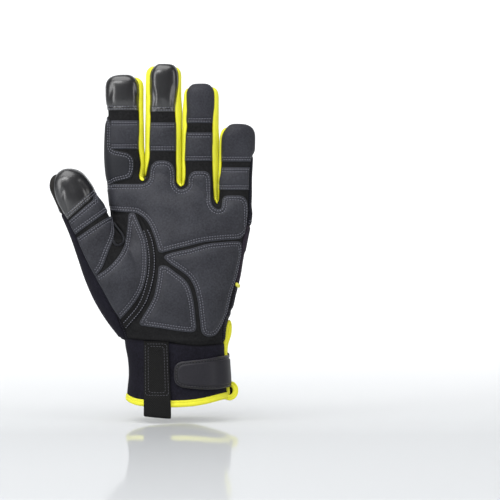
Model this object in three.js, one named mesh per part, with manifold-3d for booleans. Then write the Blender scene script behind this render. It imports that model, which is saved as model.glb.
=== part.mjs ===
// Needle-resistant work glove for the left hand, in millimetres, +Z up.
// It stands as on a hand: fingers up, palm towards -Y, thumb towards -X, little finger towards +X.
// The origin is the middle of the wrist opening, at the height of the hem.
// The body is one sewn shell cut into its cloth panels. Leather patches lie on it as a second layer.

import * as THREE from 'three';
import { mergeVertices } from 'three/addons/utils/BufferGeometryUtils.js';
import Module from 'manifold-3d';

const wasm = await Module();
wasm.setup();

// Thicknesses and gaps
const GAP = 0.3;
const WALL = 2;
const PATCH_THICK = 1.2;
const BINDING_PROUD = 1.2;
const STRAP_LIFT = BINDING_PROUD + GAP;
const STRAP_THICK = 2;
const PLATE_THICK = 1;
const WEBBING_THICK = 1.5;
const PIPING_THICK = 1.8;

// Facets round each tube, and how square a section is (2 is an ellipse)
const PALM_FACETS = 20;
const FINGER_FACETS = 12;
const SQUARENESS = 2.35;

// Planes and levels. FAR and TOP_Z are past everything, and OUT_X is past the hand's outline.
const FAR = 150;
const TOP_Z = 300;
const OUT_X = 70;
const HEM_Z = -3;
const BELOW_HEM_Z = -30;
const CUFF_TOP_Z = 44;
const THUMB_SEAM_Y = -10;

// Palm and cuff, a row for each level. left and right are the outline, front and back the depth,
// lean is how far the section rises for each millimetre of x.
const PALM_SECTIONS = [
  { z: BELOW_HEM_Z, left: -38, right: 36, front: -27, back: 27, lean: 0 },
  { z: HEM_Z, left: -38, right: 36, front: -27, back: 27, lean: 0 },
  { z: 25, left: -36.5, right: 34.5, front: -25, back: 25, lean: 0 },
  { z: 44, left: -38, right: 33.5, front: -25.5, back: 25.5, lean: 0 },
  { z: 60, left: -45, right: 36, front: -27, back: 24, lean: 0 },
  { z: 78, left: -48, right: 41.5, front: -27.5, back: 22, lean: 0 },
  { z: 100, left: -50, right: 46.5, front: -24.5, back: 19.5, lean: 0 },
  { z: 122, left: -50, right: 50.5, front: -20, back: 17.5, lean: -0.06 },
  { z: 140, left: -50, right: 52.5, front: -17, back: 16, lean: -0.14 },
  { z: 150, left: -49, right: 52, front: -14.5, back: 14, lean: -0.22 },
  { z: 157, left: -45, right: 48, front: -9.5, back: 9.5, lean: -0.28 },
];

// Fingers. x at the base and tip, half the width, half the depth, and how far the tip curls to the
// palm. openLeft and openRight say whether a fourchette runs up that side.
const FINGERS = [
  { name: 'index', baseZ: 126, tipZ: 238.7, baseX: -38.2, tipX: -39.3, half: 14, deep: 11.6,
    curl: 6, openLeft: false, openRight: true },
  { name: 'middle', baseZ: 126, tipZ: 246.7, baseX: -11.2, tipX: -10.4, half: 13, deep: 11.4,
    curl: 6, openLeft: true, openRight: true },
  { name: 'ring', baseZ: 122, tipZ: 232.1, baseX: 14.6, tipX: 16.9, half: 12.8, deep: 11,
    curl: 7, openLeft: true, openRight: true },
  { name: 'little', baseZ: 112, tipZ: 202.9, baseX: 39.6, tipX: 43.4, half: 12.4, deep: 10.4,
    curl: 6, openLeft: true, openRight: false },
];

// One finger's shape from base to tip, as shares of its length, half width and half depth.
const FINGER_STATIONS = [
  { along: 0, wide: 0.86, deep: 0.9 },
  { along: 0.25, wide: 0.97, deep: 1 },
  { along: 0.5, wide: 1, deep: 1 },
  { along: 0.76, wide: 0.97, deep: 0.95 },
  { along: 0.9, wide: 0.95, deep: 0.86 },
  { along: 0.965, wide: 0.82, deep: 0.68 },
  { along: 1, wide: 0.5, deep: 0.36 },
];

// Thumb, a row for each section from inside the palm to the tip. x and z are on its middle line.
const THUMB_LEAN = THREE.MathUtils.degToRad(26);
const THUMB_SECTIONS = [
  { x: -19, y: -3, z: 57, half: 20, deep: 18 },
  { x: -32.7, y: -5.5, z: 75.8, half: 26.5, deep: 22 },
  { x: -41, y: -7, z: 87, half: 25, deep: 21.5 },
  { x: -56.5, y: -9.5, z: 113.8, half: 20, deep: 18 },
  { x: -65.3, y: -10.5, z: 130.3, half: 17.5, deep: 15.5 },
  { x: -75.5, y: -12, z: 148.5, half: 15.5, deep: 13 },
  { x: -81, y: -13, z: 158.5, half: 13.6, deep: 11.2 },
  { x: -84.2, y: -13.4, z: 165, half: 10, deep: 8 },
  { x: -85.9, y: -13.6, z: 168.6, half: 4.6, deep: 3.6 },
];

// How much of a fourchette shows beside the front and back of a finger, how far a patch keeps from
// its panel's edge, how much of a fingertip's width its panels run over, and the bottoms of the gaps.
const FRONT_INSET = 3.3;
const BACK_INSET = 3.6;
const PATCH_INSET = 0.6;
const TIP_SHARE = 0.45;
const CROTCH_RISE = 6;
const CROTCHES = [
  { name: 'index_middle', x: -26.6, frontZ: 162, backZ: 151 },
  { name: 'middle_ring', x: 1.6, frontZ: 158, backZ: 150 },
  { name: 'ring_little', x: 27.2, frontZ: 145, backZ: 138 },
];

// Patches across the front of each finger, and the seam of each back cap (left end, right end).
const FINGER_PATCHES = [
  { finger: 'index', capZ: 212.8, midTop: 205.2, midBottom: 184.8, seamLeft: 206.6, seamRight: 212.4 },
  { finger: 'middle', capZ: 212, midTop: 203.8, midBottom: 183.4, seamLeft: 213.5, seamRight: 214.8 },
  { finger: 'ring', capZ: 203.6, midTop: 196.6, midBottom: 176, seamLeft: 205, seamRight: 195.5 },
  { finger: 'little', capZ: 176, midTop: 171, midBottom: 155, seamLeft: 185.4, seamRight: 174 },
];

// The line in the gap between thumb and index finger, from the top to the crotch
const WEB_LINE = [[-60, 172], [-56.5, 155], [-52.5, 146], [-49.5, 134.5]];
// Seam between palm and back on the outer side of the thumb, from the tip down to the cuff
const RADIAL_SEAM = [[-91, 166], [-90.9, 156], [-88.3, 146], [-80.3, 133], [-75.2, 120.5],
  [-68.6, 105], [-61.3, 91.3], [-54, 78], [-48.9, 68.6], [-41, CUFF_TOP_Z + GAP]];
const THUMB_SEAM_ROWS = 7;
// Seam between the thumb panel and the back of the hand, from the crotch down to the cuff
const THUMB_BACK_SEAM = [[-49.5, 134.5], [-50, 117], [-50, 100], [-48, 87], [-46, 76], [-44, 64],
  [-38, CUFF_TOP_Z + GAP]];
// Two seams across the back: knit to neoprene, and neoprene to elastic under the piping
const KNUCKLE_SEAM = [[-OUT_X, 130], [-47.5, 134.5], [-33, 138.7], [-15, 140], [3, 140], [17.5, 138.7],
  [36, 134.3], [47.5, 130], [OUT_X, 124]];
const PIPING_LINE = [[-47, 77.5], [-37, 84.7], [-25, 96.4], [-17.5, 101], [-11, 102.2], [10, 101.5],
  [29, 97.8], [41, 86], [46, 76]];
const PIPING_WIDTH = 3;

// Leather patches on the palm, as closed smooth outlines of x and z seen from the palm.
const PALM_PATCHES = [
  { name: 'upper_palm_pad', material: 'leather', outline: [[-49.6, 159], [-30, 159], [-22.6, 161],
    [-19.7, 172], [-12.4, 176], [-5, 172], [-2.9, 159], [1.5, 155], [6, 158], [8.4, 166.5],
    [15.3, 168.6], [21.5, 166], [23.2, 147], [27.7, 141], [32, 146], [36, 150.4], [46, 150.4],
    [50, 142], [48.9, 124], [43, 119], [15, 116], [-12.4, 109], [-16, 114.6], [-21.2, 128.5],
    [-28.5, 136.5], [-49.3, 139.4]] },
  { name: 'thenar_patch', material: 'leather', outline: [[-36.3, 135.8], [-38, 124], [-42, 109],
    [-48, 99.5], [-59, 90.5], [-57, 84], [-50, 71], [-44, 61.5], [-36.5, 68], [-28.5, 81],
    [-24.5, 97], [-25.4, 120], [-31.2, 134.4]] },
  { name: 'thumb_pad', material: 'leather', outline: [[-74.5, 119], [-52.5, 133.8], [-48.2, 130],
    [-47, 124], [-48.2, 118], [-51.5, 110.5], [-55.5, 100.5], [-61.3, 93.5], [-70, 104]] },
  { name: 'hypothenar_pad', material: 'leather', outline: [[-11, 106], [0, 110.5], [22, 115.5],
    [44.5, 117], [46, 108], [43, 93], [37, 71], [31, 55], [26, 48.5], [17, 51], [14.5, 66],
    [11, 84], [-1, 97]] },
  { name: 'heel_pad', material: 'leather', outline: [[-14.6, 99.5], [-8.8, 98.6], [4, 88],
    [10.5, 71], [12, 54], [6, 51], [-25, 55.5], [-28.5, 59], [-18, 77.5], [-15, 91]] },
  { name: 'suede_band', material: 'suede', outline: [[-26.5, 130], [-21, 117], [-19.5, 102],
    [-22.5, 84], [-31, 68], [-41, 56.5], [-36, 54], [-26, 66], [-18.6, 83], [-16.3, 102],
    [-18, 116], [-24, 129]] },
];

// The patch at the foot of the index finger, which wraps round its thumb side onto the back
const SIDE_PATCH_FRONT = [[-OUT_X, 209], [-51, 209], [-50.6, 184.6], [-42.3, 183], [-34.4, 180.4],
  [-32.8, 172], [-35.2, 164.2], [-44, 161.5], [-50.2, 160], [-62, 160]];
const SIDE_PATCH_BACK = [[-OUT_X, 205], [-50.5, 203], [-50, 160], [-48.5, 140], [-62, 150]];
const INDEX_PATCH_LEFT = -50.4;

// Lines across the front of the thumb that bound its patches: under the cap and under the strip
const THUMB_CAP_LINE = [[-96, 120.3], [-79.9, 134.3], [-60.6, 151.1], [-50, 160]];
const THUMB_STRIP_LINE = [[-86, 115], [-75.9, 122.3], [-54, 138], [-46, 143.7]];
const THUMB_STRIP_DROP = 0.9;
// The thumb's back cap ends on this line across the thumb
const THUMB_BACK_LINE = [[-109.2, 125], [-55.2, 151.3]];

// Hem binding, and the slit at the little-finger side with its own binding
const HEM_BAND = { bottom: -4.2, top: 1.4 };
const SLIT = { top: 62, halfAtTop: 1, halfAtHem: 3.5, binding: 2.6, fromX: 22 };

// Strap outlines on the front and back of the cuff, a raised plate at each end, and the pull tab
const STRAP_FRONT = [[-3, 11], [-1, 9.6], [18, 9.8], [30, 11.5], [60, 14], [60, 34], [30, 34],
  [14, 29.8], [-1, 28.6], [-3, 27]];
const STRAP_BACK = [[-26, 11.5], [-24, 10], [0, 9.4], [20, 11], [34, 14], [60, 14], [60, 34],
  [34, 34], [20, 30], [0, 28.8], [-24, 28.3], [-26, 27]];
const GRIP_PLATE = [[0, 13.2], [12, 12.6], [26, 14], [26, 29.5], [12, 26.6], [0, 25.5]];
const BACK_PLATE = [[-22, 13.2], [12, 12.8], [12, 25.8], [-22, 25.4]];
const PULL_TAB = { left: -24.8, right: -6.2, top: 44.5, bottom: -12.4, insideTop: 12, lift: 1.6 };

const COLOURS = {
  suede: 0x222221,
  leather: 0x3a3b40,
  knit: 0x262430,
  neoprene: 0x332e36,
  cloth: 0x211f2a,
  yellow: 0xf0ee3a,
  webbing: 0x1c1b1f,
  rubber: 0x2c2b31,
};
const ROUGHNESS = {
  suede: 0.95, leather: 0.55, knit: 0.9, neoprene: 0.85, cloth: 0.85, yellow: 0.75, webbing: 0.9,
  rubber: 0.5,
};
const materials = {};
for (const [name, color] of Object.entries(COLOURS)) {
  materials[name] = new THREE.MeshStandardMaterial({ color, roughness: ROUGHNESS[name] });
}

// Solids

function solidOf(geometry) {
  geometry.deleteAttribute('normal');
  geometry.deleteAttribute('uv');
  const merged = mergeVertices(geometry, 1e-4);
  return new wasm.Manifold(new wasm.Mesh({
    numProp: 3,
    vertProperties: new Float32Array(merged.attributes.position.array),
    triVerts: new Uint32Array(merged.index.array),
  }));
}

// A closed tube through rings of equal length, with a flat fan over each end.
function loft(rings) {
  const count = rings[0].length;
  const positions = rings.flat().flatMap((p) => [p.x, p.y, p.z]);
  const index = [];
  for (let r = 0; r < rings.length - 1; r += 1) {
    for (let i = 0; i < count; i += 1) {
      const a = r * count + i;
      const b = r * count + ((i + 1) % count);
      index.push(a, b, b + count, a, b + count, a + count);
    }
  }
  const last = (rings.length - 1) * count;
  for (let i = 1; i < count - 1; i += 1) {
    index.push(0, i + 1, i);
    index.push(last, last + i, last + i + 1);
  }
  const geometry = new THREE.BufferGeometry();
  geometry.setAttribute('position', new THREE.Float32BufferAttribute(positions, 3));
  geometry.setIndex(index);
  return solidOf(geometry);
}

const ACROSS = new THREE.Vector3(1, 0, 0);
const THROUGH = new THREE.Vector3(0, 1, 0);

// One squarish section, half wide each way along across, and reaching front and back along y.
function section(centre, across, half, front, back, facets) {
  const squarish = (t) => Math.sign(t) * Math.abs(t) ** (2 / SQUARENESS);
  const points = [];
  for (let i = 0; i < facets; i += 1) {
    const angle = ((i + 0.5) / facets) * Math.PI * 2;
    const s = Math.sin(angle);
    const u = squarish(Math.cos(angle)) * half;
    const v = squarish(s) * (s < 0 ? front : back);
    points.push(centre.clone().addScaledVector(across, u).addScaledVector(THROUGH, v));
  }
  return points;
}

function palmForm(offset) {
  const rings = PALM_SECTIONS.map((row, i) => {
    const rise = i === PALM_SECTIONS.length - 1 ? offset : 0;
    const middle = (row.left + row.right) / 2;
    const half = (row.right - row.left) / 2 + offset;
    const centre = new THREE.Vector3(middle, 0, row.z + rise);
    const ring = section(centre, ACROSS, half, offset - row.front, offset + row.back, PALM_FACETS);
    ring.forEach((p) => { p.z += row.lean * p.x; });
    return ring;
  });
  return loft(rings);
}

function fingerMiddle(finger, z) {
  const t = (z - finger.baseZ) / (finger.tipZ - finger.baseZ);
  return finger.baseX + (finger.tipX - finger.baseX) * t;
}

function fingerForm(finger, offset) {
  const length = finger.tipZ - finger.baseZ;
  const rings = FINGER_STATIONS.map((station) => {
    const rise = station.along === 1 ? offset : 0;
    const z = finger.baseZ + length * station.along + rise;
    const centre = new THREE.Vector3(fingerMiddle(finger, z), -finger.curl * station.along ** 2, z);
    const half = finger.half * station.wide + offset;
    const deep = finger.deep * station.deep + offset;
    return section(centre, ACROSS, half, deep, deep, FINGER_FACETS);
  });
  return loft(rings);
}

function thumbForm(offset) {
  const across = new THREE.Vector3(Math.cos(THUMB_LEAN), 0, Math.sin(THUMB_LEAN));
  const up = new THREE.Vector3(-Math.sin(THUMB_LEAN), 0, Math.cos(THUMB_LEAN));
  const rings = THUMB_SECTIONS.map((row, i) => {
    const centre = new THREE.Vector3(row.x, row.y, row.z);
    if (i === THUMB_SECTIONS.length - 1) centre.addScaledVector(up, offset);
    const half = row.half + offset;
    const deep = row.deep + offset;
    return section(centre, across, half, deep, deep, FINGER_FACETS);
  });
  return loft(rings);
}

// The whole hand's outer form, moved out by offset.
function handForm(offset) {
  let form = palmForm(offset).add(thumbForm(offset));
  for (const finger of FINGERS) form = form.add(fingerForm(finger, offset));
  return form;
}

// A layer over the hand, and over the palm and cuff alone, between two offsets.
function layer(from, to) {
  return handForm(to).subtract(handForm(from));
}

function cuffLayer(from, to) {
  return palmForm(to).subtract(palmForm(from));
}

// An outline of x and z run along y between two depths.
function prism(points, yFrom, yTo) {
  const shape = new THREE.Shape(points.map(([x, z]) => new THREE.Vector2(x, z)));
  const geometry = new THREE.ExtrudeGeometry(shape, { depth: yTo - yFrom, bevelEnabled: false, steps: 1 });
  geometry.rotateX(Math.PI / 2);
  geometry.translate(0, yTo, 0);
  return solidOf(geometry);
}

function box(x0, x1, y0, y1, z0, z1) {
  const geometry = new THREE.BoxGeometry(x1 - x0, y1 - y0, z1 - z0);
  geometry.translate((x0 + x1) / 2, (y0 + y1) / 2, (z0 + z1) / 2);
  return solidOf(geometry);
}

function isClockwise(points) {
  return THREE.ShapeUtils.isClockWise(points.map(([x, z]) => new THREE.Vector2(x, z)));
}

// An outline moved out by a distance, by the mean normal at each corner.
function grow(points, by) {
  const turn = isClockwise(points) ? -1 : 1;
  return points.map((p, i) => {
    const before = points[(i + points.length - 1) % points.length];
    const after = points[(i + 1) % points.length];
    const a = new THREE.Vector2(p[0] - before[0], p[1] - before[1]).normalize();
    const b = new THREE.Vector2(after[0] - p[0], after[1] - p[1]).normalize();
    const normal = new THREE.Vector2(a.y + b.y, -a.x - b.x).normalize();
    const reach = (turn * by) / Math.max(0.5, normal.dot(new THREE.Vector2(a.y, -a.x)));
    return [p[0] + normal.x * reach, p[1] + normal.y * reach];
  });
}

// A smooth closed outline through the points of a table.
function smooth(points) {
  const curve = new THREE.CatmullRomCurve3(points.map(([x, z]) => new THREE.Vector3(x, 0, z)), true,
    'centripetal');
  return curve.getPoints(points.length * 2).slice(0, -1).map((p) => [p.x, p.z]);
}

// A band of a given width along a line of points.
function band(points, width) {
  const sides = [1, -1].map((side) => points.map((p, i) => {
    const before = points[Math.max(0, i - 1)];
    const after = points[Math.min(points.length - 1, i + 1)];
    const along = new THREE.Vector2(after[0] - before[0], after[1] - before[1]).normalize();
    return [p[0] - (along.y * side * width) / 2, p[1] + (along.x * side * width) / 2];
  }));
  return [...sides[0], ...sides[1].reverse()];
}

const group = new THREE.Group();

// The largest body of a solid becomes one named mesh.
function place(name, material, solid) {
  const bodies = solid.decompose().sort((a, b) => b.volume() - a.volume());
  const { vertProperties, triVerts } = bodies[0].getMesh();
  const geometry = new THREE.BufferGeometry();
  geometry.setAttribute('position', new THREE.BufferAttribute(new Float32Array(vertProperties), 3));
  geometry.setIndex(new THREE.BufferAttribute(new Uint32Array(triVerts), 1));
  geometry.computeVertexNormals();
  const mesh = new THREE.Mesh(geometry, materials[material]);
  mesh.name = name;
  group.add(mesh);
}

// Outlines that follow the fingers

// The x of a finger panel's edge at a height. Past the outline where the finger has no fourchette.
function panelEdge(finger, side, z, inset) {
  const open = side < 0 ? finger.openLeft : finger.openRight;
  const reach = open ? finger.half - inset : finger.half + 12;
  return fingerMiddle(finger, z) + side * reach;
}

// The four corners over a fingertip, from its left shoulder to its right one.
function tipOutline(finger, inset) {
  const top = finger.tipZ + 10;
  const shoulder = finger.tipZ - finger.half;
  const overTip = finger.half * TIP_SHARE;
  return [
    [panelEdge(finger, -1, shoulder, inset), shoulder],
    [fingerMiddle(finger, top) - overTip, top],
    [fingerMiddle(finger, top) + overTip, top],
    [panelEdge(finger, 1, shoulder, inset), shoulder],
  ];
}

// The upper edge of a front or back panel, from the index finger to the little finger.
function fingersOutline(inset, crotchKey) {
  const points = [];
  FINGERS.forEach((finger, i) => {
    points.push(...tipOutline(finger, inset));
    if (i === CROTCHES.length) return;
    const crotch = CROTCHES[i];
    const z = crotch[crotchKey] + CROTCH_RISE;
    points.push([panelEdge(finger, 1, z, inset), z]);
    points.push([crotch.x, crotch[crotchKey]]);
    points.push([panelEdge(FINGERS[i + 1], -1, z, inset), z]);
  });
  return points;
}

// A cap or band across one finger's panel, between a lower line and its tip or an upper level.
function acrossFinger(finger, inset, leftZ, rightZ, topZ) {
  const lower = [[panelEdge(finger, -1, leftZ, inset), leftZ], [panelEdge(finger, 1, rightZ, inset), rightZ]];
  if (topZ === undefined) return [...lower, ...tipOutline(finger, inset).reverse()];
  return [...lower, [panelEdge(finger, 1, topZ, inset), topZ], [panelEdge(finger, -1, topZ, inset), topZ]];
}

const reversed = (points) => [...points].reverse();

const FRONT_PANEL = [...reversed(WEB_LINE), ...fingersOutline(FRONT_INSET, 'frontZ'), [OUT_X, 180],
  [OUT_X, CUFF_TOP_Z + GAP], ...reversed(RADIAL_SEAM.slice(THUMB_SEAM_ROWS - 1)), [-50, 100]];
const THUMB_FRONT = [...reversed(WEB_LINE).slice(0, -1), [-60, 180], [-91, 180],
  ...RADIAL_SEAM.slice(0, THUMB_SEAM_ROWS), [-45, 95]];
const THUMB_BACK_CAP = [...THUMB_BACK_LINE, [-56.5, 157], [-60, 185], [-120, 185]];
const THUMB_BACK = [[-FAR, 170], [-60, 170], ...WEB_LINE.slice(1), ...THUMB_BACK_SEAM.slice(1),
  [-38, CUFF_TOP_Z - 10], [-FAR, CUFF_TOP_Z - 10]];
const KNIT_PANEL = [[-OUT_X, 172], ...fingersOutline(BACK_INSET, 'backZ'), [OUT_X, 150],
  ...reversed(KNUCKLE_SEAM)];
const PIPING_SEAM = [[-OUT_X, 60], ...PIPING_LINE, [OUT_X, 60]];
const NEOPRENE_PANEL = [...reversed(KNUCKLE_SEAM), ...PIPING_SEAM];
const ELASTIC_PANEL = [...reversed(PIPING_SEAM), [-OUT_X, 40], [OUT_X, 40]];
const CUFF = [[-FAR, BELOW_HEM_Z], [FAR, BELOW_HEM_Z], [FAR, CUFF_TOP_Z], [-FAR, CUFF_TOP_Z]];

// The part of the hand in front of the side seams, with its outline moved out by a distance.
function frontHalf(by) {
  const hand = prism(grow(FRONT_PANEL, by), -FAR, by);
  return hand.add(prism(grow(THUMB_FRONT, by), -FAR, THUMB_SEAM_Y + by));
}

// The wedge of the slit, which opens towards the hem, widened on each side by a distance.
function slitWedge(extra) {
  const atHem = SLIT.halfAtHem + extra;
  const atTop = SLIT.halfAtTop + extra;
  const shape = new THREE.Shape([
    new THREE.Vector2(-atHem, BELOW_HEM_Z),
    new THREE.Vector2(atHem, BELOW_HEM_Z),
    new THREE.Vector2(atTop, SLIT.top),
    new THREE.Vector2(0, SLIT.top + atTop),
    new THREE.Vector2(-atTop, SLIT.top),
  ]);
  const geometry = new THREE.ExtrudeGeometry(shape, { depth: FAR, bevelEnabled: false, steps: 1 });
  geometry.rotateX(Math.PI / 2);
  geometry.rotateZ(Math.PI / 2);
  geometry.translate(SLIT.fromX, 0, 0);
  return solidOf(geometry);
}

// The cloth panels, each cut from what is left of the shell with a gap round it.
function addPanels() {
  let shell = layer(-WALL, 0)
    .subtract(box(-FAR, FAR, -FAR, FAR, BELOW_HEM_Z - 1, HEM_Z))
    .subtract(slitWedge(SLIT.binding + GAP));

  const carve = (outline, yFrom, yTo) => {
    const piece = shell.intersect(prism(outline, yFrom, yTo));
    shell = shell.subtract(prism(grow(outline, GAP), yFrom - GAP, yTo + GAP));
    return piece;
  };

  place('cuff_band', 'cloth', carve(CUFF, -FAR, FAR));
  place('palm_panel', 'suede', shell.intersect(frontHalf(0)));
  shell = shell.subtract(frontHalf(GAP));
  place('thumb_back_cap', 'leather', carve(THUMB_BACK_CAP, -FAR, FAR));
  place('thumb_back_panel', 'cloth', carve(THUMB_BACK, -FAR, FAR));
  FINGERS.forEach((finger, i) => {
    const row = FINGER_PATCHES[i];
    const outline = acrossFinger(finger, BACK_INSET, row.seamLeft, row.seamRight);
    place(`${finger.name}_back_cap`, 'leather', carve(outline, 0, FAR));
  });
  place('knit_back_panel', 'knit', carve(KNIT_PANEL, 0, FAR));
  place('neoprene_back_panel', 'neoprene', carve(NEOPRENE_PANEL, 0, FAR));
  place('elastic_back_panel', 'knit', carve(ELASTIC_PANEL, 0, FAR));
  for (const crotch of CROTCHES) {
    const reach = FRONT_INSET + 12;
    const between = box(crotch.x - reach, crotch.x + reach, -FAR, FAR, crotch.backZ - CROTCH_RISE, TOP_Z);
    place(`fourchette_${crotch.name}`, 'yellow', shell.intersect(between));
  }
}

// The leather patches on the palm side of the fingers, thumb and palm.
function addPatches() {
  const patchLayer = layer(GAP, GAP + PATCH_THICK);
  const front = patchLayer.intersect(box(-FAR, FAR, -FAR, 0, CUFF_TOP_Z, TOP_Z));
  const inset = FRONT_INSET + PATCH_INSET;

  FINGERS.forEach((finger, i) => {
    const row = FINGER_PATCHES[i];
    const cap = acrossFinger(finger, inset, row.capZ, row.capZ);
    place(`${finger.name}_tip_patch`, 'leather', front.intersect(prism(cap, -FAR, 0)));
    const middle = acrossFinger(finger, inset, row.midBottom + GAP, row.midBottom + GAP, row.midTop)
      .map(([x, z]) => [finger.name === 'index' ? Math.max(x, INDEX_PATCH_LEFT) : x, z]);
    place(`${finger.name}_middle_patch`, 'leather', front.intersect(prism(middle, -FAR, 0)));
  });

  const thumbFront = patchLayer.intersect(prism(grow(THUMB_FRONT, -PATCH_INSET), -FAR, THUMB_SEAM_Y));
  const cap = [...THUMB_CAP_LINE, [-60, 190], [-110, 190]];
  const underCap = THUMB_CAP_LINE.map(([x, z]) => [x, z - THUMB_STRIP_DROP]);
  const strip = [...underCap, ...reversed(THUMB_STRIP_LINE)];
  place('thumb_tip_patch', 'leather', thumbFront.intersect(prism(cap, -FAR, THUMB_SEAM_Y)));
  place('thumb_strip_patch', 'leather', thumbFront.intersect(prism(strip, -FAR, THUMB_SEAM_Y)));

  const palm = front.intersect(frontHalf(-PATCH_INSET));
  for (const { name, material, outline } of PALM_PATCHES) {
    place(name, material, palm.intersect(prism(smooth(outline), -FAR, 0)));
  }
  const side = prism(SIDE_PATCH_FRONT, -FAR, GAP).add(prism(SIDE_PATCH_BACK, 0, FAR));
  place('index_side_patch', 'leather', patchLayer.intersect(side));
}

// The cord of piping on the back, and the bindings of the hem and the slit.
function addTrim() {
  const piping = layer(GAP, GAP + PIPING_THICK).intersect(prism(band(PIPING_LINE, PIPING_WIDTH), GAP, FAR));
  place('back_piping', 'yellow', piping);

  const bound = cuffLayer(-WALL - BINDING_PROUD, BINDING_PROUD);
  const hemSlot = cuffLayer(-WALL - GAP, GAP).intersect(box(-FAR, FAR, -FAR, FAR, HEM_Z - GAP, TOP_Z));
  const hem = bound.intersect(box(-FAR, FAR, -FAR, FAR, HEM_BAND.bottom, HEM_BAND.top))
    .subtract(hemSlot)
    .subtract(slitWedge(SLIT.binding + GAP));
  place('hem_binding', 'yellow', hem);

  const slit = bound.intersect(slitWedge(SLIT.binding).subtract(slitWedge(0)))
    .intersect(box(-FAR, FAR, -FAR, FAR, HEM_BAND.bottom, TOP_Z));
  place('slit_binding', 'yellow', slit);
}

// The hook-and-loop strap round the little-finger side, with a raised plate at each end.
function addStrap() {
  const strapTop = STRAP_LIFT + STRAP_THICK;
  const strap = prism(STRAP_FRONT, -FAR, 0).add(prism(STRAP_BACK, 0, FAR));
  place('closure_strap', 'webbing', cuffLayer(STRAP_LIFT, strapTop).intersect(strap));
  const plates = cuffLayer(strapTop + GAP, strapTop + GAP + PLATE_THICK);
  place('strap_grip_plate', 'rubber', plates.intersect(prism(GRIP_PLATE, -FAR, 0)));
  place('strap_back_plate', 'rubber', plates.intersect(prism(BACK_PLATE, 0, FAR)));
}

// The pull tab: webbing sewn to the front of the cuff, folded under the hem and up inside it.
function addPullTab() {
  const outer = PULL_TAB.lift + WEBBING_THICK;
  const inner = -WALL - BINDING_PROUD - GAP;
  const across = (z0, z1) => box(PULL_TAB.left, PULL_TAB.right, -FAR, 0, z0, z1);
  const front = cuffLayer(PULL_TAB.lift, outer).intersect(across(PULL_TAB.bottom, PULL_TAB.top));
  const back = cuffLayer(inner - WEBBING_THICK, inner).intersect(across(PULL_TAB.bottom, PULL_TAB.insideTop));
  const fold = cuffLayer(inner - WEBBING_THICK, outer)
    .intersect(across(PULL_TAB.bottom, PULL_TAB.bottom + WEBBING_THICK));
  place('pull_tab', 'webbing', front.add(back).add(fold));
}

addPanels();
addPatches();
addTrim();
addStrap();
addPullTab();

export default group;
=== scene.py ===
"""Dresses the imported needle-resistant glove with its sewn panels, padded patches, stitches, trims and strap.

The left glove stands on its wrist end as if on a hand, with the palm towards -Y and the fingers up.
Shapes are worked out in millimetres and turned into metres when an object is made. Outlines on
the palm side are drawn as the palm view sees them on the plane of Y 0, and those behind in plain X and Z.
"""

import itertools
import logging
import math
from collections.abc import Callable, Sequence
from dataclasses import dataclass
from enum import Enum
from functools import cache

import bmesh
import bpy
import numpy as np
from bpy.types import Material, Node, NodeSocket, NodeTree, Object
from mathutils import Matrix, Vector
from mathutils.kdtree import KDTree

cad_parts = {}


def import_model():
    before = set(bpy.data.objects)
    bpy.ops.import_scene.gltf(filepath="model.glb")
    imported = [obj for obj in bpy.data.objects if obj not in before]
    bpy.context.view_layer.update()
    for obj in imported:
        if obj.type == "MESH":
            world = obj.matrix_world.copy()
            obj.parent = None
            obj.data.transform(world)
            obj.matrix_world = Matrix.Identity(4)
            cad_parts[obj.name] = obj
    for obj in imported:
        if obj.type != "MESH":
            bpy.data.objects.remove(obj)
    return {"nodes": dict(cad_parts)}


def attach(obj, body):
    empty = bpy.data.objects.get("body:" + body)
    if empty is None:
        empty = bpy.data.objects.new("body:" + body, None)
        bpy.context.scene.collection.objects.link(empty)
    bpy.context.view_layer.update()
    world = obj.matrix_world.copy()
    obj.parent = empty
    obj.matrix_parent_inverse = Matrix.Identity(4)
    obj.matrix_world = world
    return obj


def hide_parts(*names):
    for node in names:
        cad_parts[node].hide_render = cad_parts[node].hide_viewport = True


Array = np.ndarray
Line = Sequence[tuple[float, float]]

log = logging.getLogger("glove")

MM = 0.001
# The grid over the hand form has finer cells near the gaps between the fingers, at these X.
CELL = 0.85
FINE_CELL = 0.34
GAPS = (-24.9, 2.15, 28.9)
FINE_REACH = 2.2
# How far from a gap its sides are drawn together, the least share of their distance that is left, and
# how far it takes to start at the gap's foot and to end at its top.
GAP_REACH = 2.6
GAP_LEFT = 0.12
GAP_FADE = (9.0, 12.0)
# A cut moves a vertex onto itself where it passes this near to it, as a share of the side.
SNAP = 0.24
# Distances that stand for nowhere near, and for a piece whose edge gets no painted seam shade or edge
# highlight.
FAR = 1.0e3
LOOSE_EDGE = 9.0
# The eye points of the palm view and the back view.
EYE = (51.83, -1300.0, 110.96)
BACK_EYE = (0.0, 1300.0, 111.0)
# Past this angle a piece's edge looks sharp.
SHARP = math.radians(50)


# Shape tools


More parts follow.
